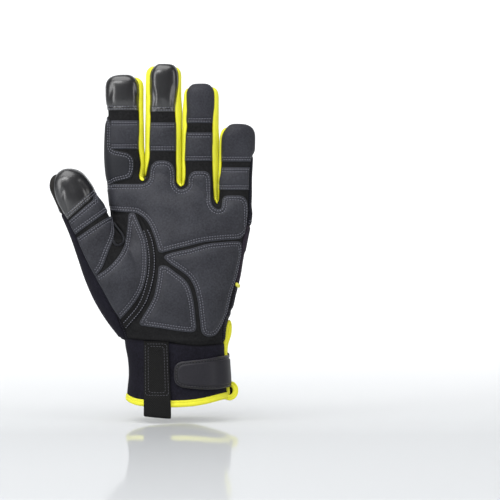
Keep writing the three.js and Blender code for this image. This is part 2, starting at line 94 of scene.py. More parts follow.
class Profile:
    """Values that change smoothly along one coordinate, from a few stations."""

    STEP = 0.5

    def __init__(self, stations: Sequence[Sequence[float]]) -> None:
        """Fits smooth curves through the stations.

        Args:
            stations: rows of a coordinate and then one or more values, in rising order.
        """
        table = np.array(stations, float)
        keys, values = table[:, 0], table[:, 1:]
        slopes = np.gradient(values, keys, axis=0)
        self.keys = np.arange(keys[0], keys[-1] + self.STEP, self.STEP)
        index = np.clip(np.searchsorted(keys, self.keys) - 1, 0, len(keys) - 2)
        span = (keys[index + 1] - keys[index])[:, None]
        t = np.clip((self.keys - keys[index])[:, None] / span, 0, 1)
        low, high = values[index], values[index + 1]
        leave, arrive = slopes[index] * span, slopes[index + 1] * span
        self.values = (
            (2 * t**3 - 3 * t**2 + 1) * low
            + (t**3 - 2 * t**2 + t) * leave
            + (3 * t**2 - 2 * t**3) * high
            + (t**3 - t**2) * arrive
        )

    def at(self, where: Array, column: int = 0) -> Array:
        """One of the values at the given coordinates."""
        return np.interp(where, self.keys, self.values[:, column])


class Outline:
    """A closed outline in the X-Z plane that knows how far a point is from it."""

    def __init__(self, points: Line, smooth: bool = True) -> None:
        """Keeps the outline, rounded between its points if it is smooth.

        Args:
            points: corners in order, as X and Z in millimetres.
            smooth: whether the line bends through the corners instead of turning at them.
        """
        corners = np.array(points, float)
        self.points = self._rounded(corners) if smooth else corners

    @staticmethod
    def _rounded(corners: Array, steps: int = 4) -> Array:
        """A closed curve through the corners.

        Args:
            corners: points that the curve passes through.
            steps: points made for each corner.

        Returns:
            The curve's points.
        """
        before, after = np.roll(corners, 1, 0), np.roll(corners, -1, 0)
        beyond = np.roll(corners, -2, 0)
        curve = []
        for t in np.arange(steps) / steps:
            curve.append(
                0.5
                * (
                    2 * corners
                    + (after - before) * t
                    + (2 * before - 5 * corners + 4 * after - beyond) * t**2
                    + (3 * corners - before - 3 * after + beyond) * t**3
                )
            )
        return np.stack(curve, 1).reshape(-1, 2)

    def level(self, x: Array, z: Array, reach: float = 14.0) -> Array:
        """Signed distance to the outline, negative inside.

        Args:
            x: X of the points.
            z: Z of the points.
            reach: how far around the outline the distance is worked out.

        Returns:
            The distance of each point, or FAR beyond reach.
        """
        low, high = self.points.min(0) - reach, self.points.max(0) + reach
        near = (x > low[0]) & (x < high[0]) & (z > low[1]) & (z < high[1])
        result = np.full(len(x), FAR)
        x, z = x[near], z[near]
        best, inside = np.full(len(x), np.inf), np.zeros(len(x), bool)
        for (x0, z0), (x1, z1) in zip(self.points, np.roll(self.points, -1, 0)):
            dx, dz = x1 - x0, z1 - z0
            length = dx * dx + dz * dz
            if length == 0:
                continue
            t = np.clip(((x - x0) * dx + (z - z0) * dz) / length, 0, 1)
            best = np.minimum(best, (x - x0 - t * dx) ** 2 + (z - z0 - t * dz) ** 2)
            crosses = (z0 <= z) != (z1 <= z)
            inside ^= crosses & (x < x0 + (z - z0) * dx / (dz if dz else 1.0))
        result[near] = np.where(inside, -1, 1) * np.sqrt(best)
        return result


def smooth_min(a: Array, b: Array, blend: float) -> Array:
    """The lower of two fields, with a soft fillet of the given width."""
    h = np.maximum(blend - np.abs(a - b), 0) / blend
    return np.minimum(a, b) - h * h * blend / 4


def ease(x: Array, low: float, high: float) -> Array:
    """A smooth rise from 0 at low to 1 at high."""
    t = np.clip((x - low) / (high - low), 0, 1)
    return t * t * (3 - 2 * t)


def bell(x: Array, width: float, middle: float = 0.0) -> Array:
    """A smooth hump of height 1 over a middle value."""
    return np.exp(-(((x - middle) / width) ** 2))


def unit(vectors: Array) -> Array:
    """The vectors with length one."""
    return vectors / np.maximum(np.linalg.norm(vectors, axis=1), 1e-9)[:, None]


def slopes(value: Callable[[Array], Array], p: Array, step: float) -> Array:
    """How a field rises around points.

    Args:
        value: the field.
        p: points as rows of X, Y and Z.
        step: distance from each point to its samples.

    Returns:
        The rise along each axis, as a row for each point.
    """
    return np.stack([(value(p + axis) - value(p - axis)) / (2 * step) for axis in np.eye(3) * step], 1)


# The filled-out hand


@dataclass(frozen=True)
class Digit:
    """A finger or thumb stall as a distance field.

    A digit stands on its foot, an X and Z, and leans left by its tilt in degrees. It is cut off below
    its start, and rounded off over its last stretch up to the tip. Each station has the distance along
    the digit, its left and right sides, its middle in Y and its half depth.
    """

    foot: tuple[float, float]
    tilt: float
    tip: float
    rounding: float
    start: float
    stations: tuple[tuple[float, float, float, float, float], ...]

    SQUARE = 2.35
    CLOSING = 3.2

    def __post_init__(self) -> None:
        """Fits the smooth curves once."""
        object.__setattr__(self, "shape", Profile(self.stations))

    def place(self, p: Array) -> tuple[Array, Array]:
        """How far points are along and across the digit.

        Args:
            p: points as rows of X, Y and Z.

        Returns:
            Distances along the digit and to its right.
        """
        sin, cos = math.sin(math.radians(self.tilt)), math.cos(math.radians(self.tilt))
        x, z = p[:, 0] - self.foot[0], p[:, 2] - self.foot[1]
        return cos * z - sin * x, cos * x + sin * z

    def value(self, p: Array) -> Array:
        """Approximate distance of points from the digit's surface, negative inside.

        Args:
            p: points as rows of X, Y and Z.

        Returns:
            A distance for each point.
        """
        along, across = self.place(p)
        left, right, middle, deep = (self.shape.at(along, c) for c in range(4))
        wide, n, m = (right - left) / 2, self.SQUARE, self.CLOSING
        u = np.abs(across - (left + right) / 2)
        v = np.abs(p[:, 1] - middle)
        flat = ((u / wide) ** n + (v / deep) ** n) ** (1 / n)
        flat = np.maximum(flat, 1e-3)
        slope_u = (u / wide) ** (n - 1) / wide
        slope_v = (v / deep) ** (n - 1) / deep
        slope_flat = flat ** (1 - n) * np.sqrt(slope_u**2 + slope_v**2)
        t = np.maximum(along - (self.tip - self.rounding), 0) / self.rounding
        total = (flat**m + t**m) ** (1 / m)
        slope = np.sqrt(
            ((flat / total) ** (m - 1) * slope_flat) ** 2
            + ((t / total) ** (m - 1) / self.rounding) ** 2
        )
        distance = (total - 1) / np.maximum(slope, 1 / np.maximum(wide, deep))
        return np.maximum(distance, self.start - along)


INDEX = Digit(
    (0, 0), 0, 237.1, 10, 116,
    (
        (110, -47.4, -26.5, -0.4, 12),
        (135, -48.1, -25.6, -0.5, 11.9),
        (147, -49.2, -25.2, -0.6, 11.8),
        (162, -51.7, -25.15, -0.9, 11.6),
        (176.7, -53, -25.15, -1.5, 11.4),
        (191, -52.9, -25.25, -2.4, 11.2),
        (202, -52.2, -25.4, -3.2, 10.8),
        (209, -51.3, -25.6, -3.7, 10.4),
        (219, -52.2, -25.6, -4.6, 10.2),
        (229, -52.5, -25.5, -5.3, 9.6),
        (240, -52.3, -25.6, -6, 8.8),
    ),
)
MIDDLE = Digit(
    (0, 0), 0, 245.2, 10, 116,
    (
        (110, -24.2, 1.5, -0.4, 11.9),
        (145, -24.6, 1.85, -0.5, 11.7),
        (169, -24.6, 1.9, -1.2, 11.5),
        (185, -24.6, 1.9, -2, 11.3),
        (200, -24.5, 1.9, -3, 11),
        (210, -24.2, 1.9, -3.6, 10.4),
        (222, -24.1, 1.9, -4.4, 10.2),
        (236, -23.9, 2, -5.4, 9.4),
        (248, -23.7, 2, -6, 8.6),
    ),
)
RING = Digit(
    (0, 0), 0, 230.4, 10, 110,
    (
        (106, 2.6, 27.6, -0.4, 11.6),
        (145, 2.45, 28, -0.6, 11.4),
        (169, 2.45, 28.5, -1.6, 11.2),
        (188, 2.5, 29, -2.8, 11),
        (200, 2.7, 29.1, -3.8, 10.4),
        (210, 3.2, 29.2, -4.8, 10),
        (220, 3.7, 29.2, -5.9, 9.4),
        (233, 3.9, 29, -7, 8.4),
    ),
)
LITTLE = Digit(
    (0, 0), 0, 201.2, 10, 112,
    (
        (106, 28.6, 46, -0.3, 11),
        (122, 28.6, 50.2, -0.4, 11),
        (135, 28.6, 52.4, -0.6, 10.8),
        (150, 28.6, 53.3, -1.2, 10.6),
        (163, 29.0, 53.4, -2.2, 10.3),
        (173, 29.3, 53.9, -3, 9.6),
        (182, 29.7, 54.3, -4, 9.4),
        (191, 30.2, 54.5, -5, 9),
        (204, 30.6, 54.3, -6, 8),
    ),
)
THUMB = Digit(
    (-41, 87), 26, 91.7, 13, -44,
    (
        (-46, -16.5, 15, 1, 17),
        (-36, -19.2, 17, 0, 19),
        (-27.4, -21.2, 19, -1.5, 21),
        (-13.7, -23.2, 21, -4, 22.5),
        (0, -23.8, 21.5, -6.5, 22.5),
        (15, -22.9, 18.5, -8, 20.5),
        (31, -20.7, 14.6, -9.4, 18.3),
        (45, -18.9, 12.9, -10.4, 16.6),
        (52, -18.3, 12.8, -11, 15.4),
        (58, -18.0, 12.0, -11.4, 14.8),
        (64, -17.8, 11.2, -11.9, 13.8),
        (72, -17.3, 10.9, -12.5, 13),
        (78, -17.1, 10, -13, 12),
        (84, -16.8, 8.6, -13.4, 11.2),
        (88.5, -15.9, 6.9, -13.7, 10.4),
        (91, -15.4, 5.6, -13.8, 10),
        (95, -13.4, 3.8, -13.9, 9.4),
    ),
)


class HandForm:
    """The hand-shaped body that the panels are sewn around, as a distance field."""

    WEB_BLEND = 4.5
    THUMB_BLEND = 2.6
    TOP_BLEND = 6.0
    SQUARE = 2.4
    FOOT_BLEND = 3.0
    FOOT_RISE = 1.6
    PALM_FOOT = 44.2
    CUFF_HEAD = 54.0
    PALM = (
        (30, -40.5, 33.4, 26.4, 26.0),
        (44, -42.2, 33.8, 26.8, 25.8),
        (50, -43.5, 34.3, 27.2, 25.4),
        (60, -46, 36, 27.6, 24.6),
        (65.7, -47, 38.5, 27.8, 24.2),
        (78, -48.5, 41.6, 27.6, 22.8),
        (92.7, -50, 45.2, 26, 21),
        (102, -50.3, 46.7, 24.8, 20),
        (111, -49.4, 48.2, 23.4, 19.2),
        (119.7, -48.6, 49.4, 21.8, 18.4),
        (131, -47.9, 51.8, 19.6, 17.2),
        (151, -49.2, 53.2, 16.2, 14.6),
        (175, -50, 53.2, 14, 13),
    )
    CUFF = (
        (-30, -38.5, 37, 27, 27),
        (0, -38.2, 36.4, 26.8, 26.8),
        (9, -37.6, 35, 26.2, 26.2),
        (20, -36.6, 34.3, 25.4, 25.4),
        (31, -37.2, 33.6, 25.2, 25.2),
        (42, -39.2, 33.2, 25.6, 25.2),
        (56, -40, 33.4, 25.8, 25),
    )
    PALM_TOP = ((-60, 158, 0.62), (-26.5, 157, 0.62), (1.5, 154.5, 0.4), (28.5, 144.3, 0.2), (60, 139, 0.2))

    def __init__(self) -> None:
        """Prepares the smooth tables."""
        self.palm_shape = Profile(self.PALM)
        self.cuff_shape = Profile(self.CUFF)
        self.palm_top = Profile(self.PALM_TOP)
        self.fingers = (INDEX, MIDDLE, RING, LITTLE)

    def ring(self, shape: Profile, x: Array, y: Array, z: Array) -> Array:
        """Distance from an upright tube of rounded cross-section.

        Args:
            shape: left, right, front and back by height.
            x: X of the points.
            y: Y of the points.
            z: Z of the points.

        Returns:
            A distance for each point.
        """
        left, right, front, back = (shape.at(z, c) for c in range(4))
        wide, n = (right - left) / 2, self.SQUARE
        deep = np.where(y < 0, front, back)
        u, v = np.abs(x - (left + right) / 2), np.abs(y)
        flat = np.maximum(((u / wide) ** n + (v / deep) ** n) ** (1 / n), 1e-3)
        slope = flat ** (1 - n) * np.hypot((u / wide) ** (n - 1) / wide, (v / deep) ** (n - 1) / deep)
        return (flat - 1) / np.maximum(slope, 1 / wide)

    def value(self, p: Array) -> Array:
        """Approximate distance of points from the hand's surface, negative inside.

        Args:
            p: points as rows of X, Y and Z.

        Returns:
            A distance for each point.
        """
        x, y, z = p.T
        palm = self.ring(self.palm_shape, x, y, z)
        top, lean = self.palm_top.at(x, 0), self.palm_top.at(x, 1)
        palm = -smooth_min(-palm, top - lean * y - z, self.TOP_BLEND)
        fingers = np.min([digit.value(p) for digit in self.fingers], axis=0)
        body = smooth_min(palm, fingers, self.WEB_BLEND)
        body = smooth_min(body, THUMB.value(p), self.THUMB_BLEND)
        foot = self.PALM_FOOT + self.FOOT_RISE * ease(-x, 15, 42)
        body = -smooth_min(-body, z - foot, self.FOOT_BLEND)
        cuff = np.maximum(self.ring(self.cuff_shape, x, y, z), z - self.CUFF_HEAD)
        return np.minimum(body, cuff)

    def gradient(self, p: Array, step: float = 0.15) -> Array:
        """How the field rises around points."""
        return slopes(self.value, p, step)

    def settle(self, p: Array, rounds: int = 2) -> Array:
        """Moves points onto the surface.

        Args:
            p: points near the surface.
            rounds: how often they are moved.

        Returns:
            The moved points.
        """
        for _ in range(rounds):
            slope = self.gradient(p)
            size = np.maximum((slope**2).sum(1), 0.05)
            p = p - slope * np.clip(self.value(p) / size, -1.5, 1.5)[:, None]
        return p

    def front_y(self, x: Array, z: Array) -> Array:
        """Y of the palm-side surface over points of the X-Z plane.

        Args:
            x: X of the points.
            z: Z of the points.

        Returns:
            A Y for each pair.
        """
        low, high = np.full(len(x), -60.0), np.zeros(len(x))
        for _ in range(24):
            middle = (low + high) / 2
            outside = self.value(np.stack([x, middle, z], 1)) > 0
            low, high = np.where(outside, middle, low), np.where(outside, high, middle)
        return low


def surface_net(value: Callable[[Array], Array], x: Array, y: Array, z: Array) -> tuple[Array, Array]:
    """Meshes the zero surface of a field.

    Args:
        value: the field, negative inside.
        x: grid positions along X.
        y: grid positions along Y.
        z: grid positions along Z.

    Returns:
        Points and triangles, facing outwards.
    """
    layers = []
    for height in z:
        grid = np.stack(np.meshgrid(x, y, [height], indexing="ij"), -1)
        layers.append(value(grid.reshape(-1, 3)).reshape(len(x), len(y), 1))
    grid = np.concatenate(layers, 2)
    inside = grid < 0
    corners = np.array(list(itertools.product((0, 1), repeat=3)))
    windows = [inside[tuple(slice(c, c - 1 or None) for c in corner)] for corner in corners]
    total = np.sum(windows, axis=0)
    active = (total > 0) & (total < 8)
    cells = np.argwhere(active)
    number = np.full(active.shape, -1)
    number[active] = np.arange(len(cells))
    sums, count = np.zeros((len(cells), 3)), np.zeros(len(cells))
    for a, b in itertools.combinations(corners, 2):
        if np.abs(a - b).sum() != 1:
            continue
        fa, fb = grid[tuple((cells + a).T)], grid[tuple((cells + b).T)]
        cross = (fa < 0) != (fb < 0)
        t = np.where(cross, fa / np.where(cross, fa - fb, 1.0), 0)
        sums += np.where(cross[:, None], a + t[:, None] * (b - a), 0)
        count += cross
    spots = cells + sums / count[:, None]
    points = np.stack([np.interp(spots[:, i], np.arange(len(g)), g) for i, g in enumerate((x, y, z))], 1)
    quads = []
    for axis in range(3):
        one, two = (axis + 1) % 3, (axis + 2) % 3
        ahead = np.roll(inside, -1, axis)
        change = inside != ahead
        change[tuple(slice(-1, None) if i == axis else slice(None) for i in range(3))] = False
        starts = np.argwhere(change)
        starts = starts[(starts[:, one] > 0) & (starts[:, two] > 0)]
        starts = starts[(starts[:, one] < grid.shape[one] - 1) & (starts[:, two] < grid.shape[two] - 1)]
        e1, e2 = np.eye(3, dtype=int)[one], np.eye(3, dtype=int)[two]
        ring = [number[tuple((starts - o).T)] for o in (e1 + e2, e2, 0 * e1, e1)]
        quad = np.stack(ring, 1)
        outward = inside[tuple(starts.T)]
        quads.append(np.where(outward[:, None], quad, quad[:, ::-1]))
    quad = np.concatenate(quads)
    quad = quad[(quad >= 0).all(1)]
    first = np.linalg.norm(points[quad[:, 0]] - points[quad[:, 2]], axis=1)
    second = np.linalg.norm(points[quad[:, 1]] - points[quad[:, 3]], axis=1)
    turned = np.where((first > second)[:, None], np.roll(quad, -1, 1), quad)
    return points, np.concatenate([turned[:, [0, 1, 2]], turned[:, [0, 2, 3]]])


# Sewn skins


@dataclass
class Path:
    """A line on a surface with the surface's outward directions along it."""

    points: Array
    normals: Array
    closed: bool

    def length(self) -> float:
        """Length along the line."""
        return float(self.marks()[-1])

    def marks(self) -> Array:
        """Distance along the line of each point, with the closing stretch's end."""
        points = np.vstack([self.points, self.points[:1]]) if self.closed else self.points
        return np.concatenate([[0], np.cumsum(np.linalg.norm(np.diff(points, axis=0), axis=1))])

    def at(self, where: Array) -> tuple[Array, Array]:
        """Points and outward directions at distances along the line.

        Args:
            where: distances from the line's start.

        Returns:
            The points and the directions, of length one.
        """
        marks = self.marks()
        points, normals = self.points, self.normals
        if self.closed:
            points, normals = np.vstack([points, points[:1]]), np.vstack([normals, normals[:1]])
            where = np.mod(where, marks[-1])
        place = np.stack([np.interp(where, marks, points[:, c]) for c in range(3)], 1)
        facing = np.stack([np.interp(where, marks, normals[:, c]) for c in range(3)], 1)
        return place, unit(facing)

    def even(self, step: float, rounds: int = 2) -> "Path":
        """The line with evenly spaced points, slightly smoothed.

        Args:
            step: wanted distance between points.
            rounds: how often the line is smoothed.

        Returns:
            The new line.
        """
        count = max(int(round(self.length() / step)), 4)
        where = np.linspace(0, self.length(), count + (not self.closed))
        if self.closed:
            where = np.arange(count) * self.length() / count
        points, normals = self.at(where)
        for _ in range(rounds):
            around = (np.roll(points, 1, 0) + 2 * points + np.roll(points, -1, 0)) / 4
            facing = (np.roll(normals, 1, 0) + 2 * normals + np.roll(normals, -1, 0)) / 4
            if not self.closed:
                around[[0, -1]], facing[[0, -1]] = points[[0, -1]], normals[[0, -1]]
            points, normals = around, unit(facing)
        return Path(points, normals, self.closed)


def sides(faces: Array) -> Array:
    """The three directed sides of every triangle, as rows of two vertex numbers."""
    return np.concatenate([faces[:, [0, 1]], faces[:, [1, 2]], faces[:, [2, 0]]])


def open_sides(faces: Array, count: int) -> Array:
    """The directed sides that belong to one triangle only.

    Args:
        faces: triangles as rows of three vertex numbers.
        count: number of vertices.

    Returns:
        The sides, as rows of two vertex numbers.
    """
    directed = sides(faces)
    a, b = directed.T
    return directed[~np.isin(a * count + b, b * count + a)]


def split_faces(faces: Array, inside: Array) -> tuple[Array, Array]:
    """Finds the triangles that a cut crosses.

    Args:
        faces: triangles as rows of three vertex numbers.
        inside: whether each vertex is on the kept side.

    Returns:
        The crossed triangles, turned so that the vertex alone on its side comes first, and
        whether that vertex is the kept one.
    """
    count = inside[faces].sum(1)
    crossed = faces[(count == 1) | (count == 2)]
    lone = inside[crossed].sum(1) == 1
    odd = np.argmax(inside[crossed] == lone[:, None], axis=1)
    turned = crossed[np.arange(len(crossed))[:, None], (odd[:, None] + np.arange(3)) % 3]
    return turned, lone


def crossed_sides(turned: Array) -> tuple[Array, Array]:
    """Lists the sides that a cut crosses, each once.

    Args:
        turned: crossed triangles, with the vertex alone on its side first.

    Returns:
        The sides as rows of two vertex numbers, and which two of them each triangle has.
    """
    keys = np.sort(np.concatenate([turned[:, [0, 1]], turned[:, [0, 2]]]), 1)
    unique, back = np.unique(keys, axis=0, return_inverse=True)
    return unique, back.reshape(2, -1)


@dataclass
class Skin:
    """A stretch of the glove's surface: resting points, outward directions, triangles and heights."""

    points: Array
    normals: Array
    faces: Array
    shift: Array
    cut: Array

    def placed(self) -> Array:
        """The points moved out or in by their heights."""
        return self.points + self.normals * self.shift[:, None]

    def front(self) -> tuple[Array, Array]:
        """X and Z at which the palm view sees each resting point on the plane of Y 0."""
        scale = -EYE[1] / (self.points[:, 1] - EYE[1])
        return tuple(EYE[c] + (self.points[:, c] - EYE[c]) * scale for c in (0, 2))

    def compact(self) -> "Skin":
        """The skin without the vertices that no face uses.

        Returns:
            The smaller skin.
        """
        used = np.unique(self.faces)
        number = np.full(len(self.points), -1)
        number[used] = np.arange(len(used))
        columns = (values[used] for values in (self.shift, self.cut))
        return Skin(self.points[used], self.normals[used], number[self.faces], *columns)

    def trimmed(self, level: Array) -> "Skin":
        """The part of the skin where the level is below zero, with a clean edge.

        Args:
            level: one number per vertex, which is zero along the cut.

        Returns:
            The trimmed skin, with its cut edge's vertices marked.
        """
        level = level.copy()
        points = self.points.copy()
        faces = self.faces
        a, b = np.unique(np.sort(sides(faces), 1), axis=0).T
        crossing = level[a] * level[b] < 0
        a, b = a[crossing], b[crossing]
        t = level[a] / (level[a] - level[b])
        spot = points[a] + t[:, None] * (points[b] - points[a])
        for near, vertex in ((t < SNAP, a), (t > 1 - SNAP, b)):
            points[vertex[near]] = spot[near]
            level[vertex[near]] = 0.0
        inside = level <= 0
        whole = inside[faces].all(1) & (level[faces] < 0).any(1)
        turned, lone = split_faces(faces, inside)
        p, q, r = turned.T
        unique, ends = crossed_sides(turned)
        a, b = unique.T
        gap = level[a] - level[b]
        t = level[a] / np.where(gap == 0, 1, gap)

        def mixed(values: Array) -> Array:
            """The values where the cut crosses each side."""
            return values[a] + (values[b] - values[a]) * (t[:, None] if values.ndim > 1 else t)

        names = np.arange(len(unique)) + len(points)
        names = np.where(level[a] == 0, a, np.where(level[b] == 0, b, names))
        first, second = names[ends]
        pieces = [
            faces[whole],
            np.stack([p, first, second], 1)[lone],
            np.stack([q, r, second], 1)[~lone],
            np.stack([q, second, first], 1)[~lone],
        ]
        made = np.concatenate(pieces)
        a0, b0, c0 = made.T
        made = made[(a0 != b0) & (b0 != c0) & (a0 != c0)]
        cut = np.concatenate([level == 0, np.ones(len(unique), bool)])
        normals = np.vstack([self.normals, unit(mixed(self.normals))])
        shift = np.concatenate([self.shift, mixed(self.shift)])
        return Skin(np.vstack([points, mixed(points)]), normals, made, shift, cut).compact()

    def refined(self, wanted: Array, form: HandForm | None = None) -> "Skin":
        """The skin with finer triangles where they are wanted.

        Args:
            wanted: whether each vertex is in the finer area.
            form: the hand form that new points settle on, if there is one.

        Returns:
            The finer skin.
        """
        faces = self.faces
        lines = np.stack([faces, np.roll(faces, -1, 1)], -1).reshape(-1, 2)
        keys, back = np.unique(np.sort(lines, 1), axis=0, return_inverse=True)
        split = wanted[keys].all(1)
        middle = np.full(len(keys), -1)
        middle[split] = np.arange(split.sum()) + len(self.points)
        m = middle[back.reshape(-1)].reshape(-1, 3)
        count = (m >= 0).sum(1)
        made = []
        for number, chosen, picks in (
            (0, m < 0, ((0, 1, 2),)),
            (3, m >= 0, ((0, 3, 5), (1, 4, 3), (2, 5, 4), (3, 4, 5))),
            (1, m >= 0, ((0, 3, 2), (3, 1, 2))),
            (2, m < 0, ((0, 1, 4), (0, 4, 5), (4, 2, 5))),
        ):
            part = count == number
            turn = (np.argmax(chosen[part], 1)[:, None] + np.arange(3)) % 3
            rows = np.arange(part.sum())[:, None]
            both = np.concatenate([faces[part][rows, turn], m[part][rows, turn]], 1)
            made += [both[:, pick] for pick in picks]
        a, b = keys[split].T
        fresh = (self.points[a] + self.points[b]) / 2
        if form:
            fresh = form.settle(fresh, 1)
        return Skin(
            np.vstack([self.points, fresh]),
            np.vstack([self.normals, unit(self.normals[a] + self.normals[b])]),
            np.concatenate(made),
            np.concatenate([self.shift, (self.shift[a] + self.shift[b]) / 2]),
            np.concatenate([self.cut, self.cut[a] & self.cut[b]]),
        )

    def border(self) -> Array:
        """Whether each vertex lies on an open edge.

        Returns:
            A truth value for each vertex.
        """
        result = np.zeros(len(self.points), bool)
        result[open_sides(self.faces, len(result)).ravel()] = True
        return result

    def seam_distance(self) -> Array:
        """Straight distance of each resting point to the nearest open edge."""
        return self.distance_to(self.points[self.border()])

    def distance_to(self, targets: Array) -> Array:
        """Straight distance of each resting point to the nearest target.

        Args:
            targets: points to measure to.

        Returns:
            The distances, or FAR where there is no target.
        """
        if not len(targets):
            return np.full(len(self.points), FAR)
        tree = KDTree(len(targets))
        for number, target in enumerate(targets):
            tree.insert(target, number)
        tree.balance()
        return np.array([tree.find(p)[2] for p in self.points])

    def trace(self, level: Array, keep: Array | None = None) -> list[Path]:
        """The lines along which a level is zero.

        Args:
            level: one number per vertex.
            keep: whether a line may pass each vertex; anywhere if left out.

        Returns:
            Paths on the placed surface, the longest first.
        """
        faces = self.faces if keep is None else self.faces[keep[self.faces].all(1)]
        turned, _ = split_faces(faces, level < 0)
        if not len(turned):
            return []
        unique, ends = crossed_sides(turned)
        a, b = unique.T
        t = (level[a] / (level[a] - level[b]))[:, None]
        placed = self.placed()
        points = placed[a] + (placed[b] - placed[a]) * t
        normals = unit(self.normals[a] + (self.normals[b] - self.normals[a]) * t)
        near: dict[int, list[int]] = {}
        for one, two in ends.T.tolist():
            near.setdefault(one, []).append(two)
            near.setdefault(two, []).append(one)
        paths, seen = [], set()
        for start in sorted(near, key=lambda n: len(near[n])):
            if start in seen:
                continue
            chain, here = [start], start
            seen.add(start)
            while True:
                ahead = [n for n in near[here] if n not in seen]
                if not ahead:
                    break
                here = ahead[0]
                seen.add(here)
                chain.append(here)
            closed = len(chain) > 2 and chain[0] in near[here]
            paths.append(Path(points[chain], normals[chain], closed))
        return sorted((p for p in paths if len(p.points) > 3), key=lambda p: -p.length())


@dataclass
class Solid:
    """A closed mesh in millimetres with a number per vertex for its distance from a seam or edge."""

    points: Array
    faces: list[Array]
    edge: Array

    @staticmethod
    def joined(parts: Sequence["Solid"]) -> "Solid":
        """One mesh of several.

        Args:
            parts: the meshes to join.

        Returns:
            The joined mesh.
        """
        offset, faces = 0, []
        for part in parts:
            faces += [f + offset for f in part.faces]
            offset += len(part.points)
        return Solid(
            np.vstack([p.points for p in parts]), faces, np.concatenate([p.edge for p in parts])
        )


def shell(skin: Skin, edge: Array, thickness: float = 1.2, floor: float | None = None) -> Solid:
    """Gives a skin a wall, open at no side.

    Args:
        skin: the outer surface.
        edge: distance of each vertex from the skin's seam.
        thickness: wall thickness, inwards.
        floor: height of the wall's inner side over the resting surface, instead of a thickness.

    Returns:
        The closed wall.
    """
    outer = skin.placed()
    inner = outer - skin.normals * thickness
    if floor is not None:
        inner = skin.points + skin.normals * floor
    n = len(outer)
    a, b = open_sides(skin.faces, n).T
    rim = np.concatenate([np.stack([b, a, a + n], 1), np.stack([b, a + n, b + n], 1)])
    faces = np.concatenate([skin.faces, skin.faces[:, ::-1] + n, rim])
    return Solid(np.vstack([outer, inner]), [faces], np.concatenate([edge, edge]))


def rounded_bar(width: float, height: float, corners: int = 12, square: float = 3.0) -> Array:
    """Cross-section of a flattened tube, as offsets across and up.

    Args:
        width: full width across.
        height: full height.
        corners: number of corners.
        square: 2 for an ellipse, and more for a squarer bar.

    Returns:
        Offsets for each corner.
    """
    angle = np.arange(corners) * 2 * math.pi / corners
    cos, sin = np.cos(angle), np.sin(angle)
    size = (np.abs(cos) ** square + np.abs(sin) ** square) ** (-1 / square)
    return np.stack([cos * size * width / 2, sin * size * height / 2], 1)


def sweep(path: Path, section: Array, lift: float | Array = 0.0, size: Array | None = None) -> Solid:
    """Runs a cross-section along a path.

    Args:
        path: the line to follow, with its outward directions.
        section: closed cross-section, as offsets across and up.
        lift: how far the section's middle stands off the path, all along or at each point.
        size: share of the section's full size at each point, such as for rounded ends.

    Returns:
        The closed solid, with its ends capped unless the path is closed.
    """
    points, up = path.points, path.normals
    if path.closed:
        ahead, behind = np.roll(points, -1, 0), np.roll(points, 1, 0)
    else:
        ahead = np.vstack([points[1:], points[-1:]])
        behind = np.vstack([points[:1], points[:-1]])
    along = unit(ahead - behind)
    across = unit(np.cross(along, up))
    up = unit(np.cross(across, along))
    n, m = len(points), len(section)
    share = np.ones((n, 1, 1)) if size is None else size[:, None, None]
    lift = np.broadcast_to(lift, (n,))[:, None, None]
    grid = (
        points[:, None]
        + across[:, None] * section[None, :, :1] * share
        + up[:, None] * (section[None, :, 1:] * share + lift)
    ).reshape(-1, 3)
    i, j = np.meshgrid(np.arange(n if path.closed else n - 1), np.arange(m), indexing="ij")
    i, j = i.ravel(), j.ravel()
    k, l = (i + 1) % n, (j + 1) % m
    quads = np.stack([i * m + j, i * m + l, k * m + l, k * m + j], 1)
    faces = [quads]
    if not path.closed:
        faces += [np.arange(m)[None, ::-1], (np.arange(m) + (n - 1) * m)[None]]
    return outward(Solid(grid, faces, np.full(len(grid), LOOSE_EDGE)))


def rounded_ends(path: Path, radius: float) -> Array:
    """Sizes that round both ends of a swept path.

    Args:
        path: the line that is swept.
        radius: length of each rounded end.

    Returns:
        A share of the full size for each point.
    """
    marks = path.marks()
    inner = np.minimum(marks, marks[-1] - marks) / radius
    return np.sqrt(np.clip(1 - (1 - np.clip(inner, 0.03, 1)) ** 2, 0.02, 1))


def outward(solid: Solid) -> Solid:
    """The solid with its faces turned outwards.

    Args:
        solid: a closed mesh.

    Returns:
        The same mesh, or one turned over.
    """
    volume = 0.0
    for block in solid.faces:
        a = solid.points[block[:, 0]]
        for k in range(1, block.shape[1] - 1):
            b, c = solid.points[block[:, k]], solid.points[block[:, k + 1]]
            volume += float(np.einsum("ij,ij->", a, np.cross(b, c)))
    if volume >= 0:
        return solid
    return Solid(solid.points, [block[:, ::-1] for block in solid.faces], solid.edge)


def pick(piece: Object, test: Callable[[Vector], bool]) -> None:
    """Selects the vertices of a piece in edit mode by their place.

    Args:
        piece: the piece, which is the active object.
        test: whether a vertex at a place is selected.
    """
    bpy.ops.object.mode_set(mode="EDIT")
    mesh = bmesh.from_edit_mesh(piece.data)
    mesh.select_mode = {"VERT"}
    for vertex in mesh.verts:
        vertex.select = test(vertex.co)
    mesh.select_flush_mode()
    bmesh.update_edit_mesh(piece.data)


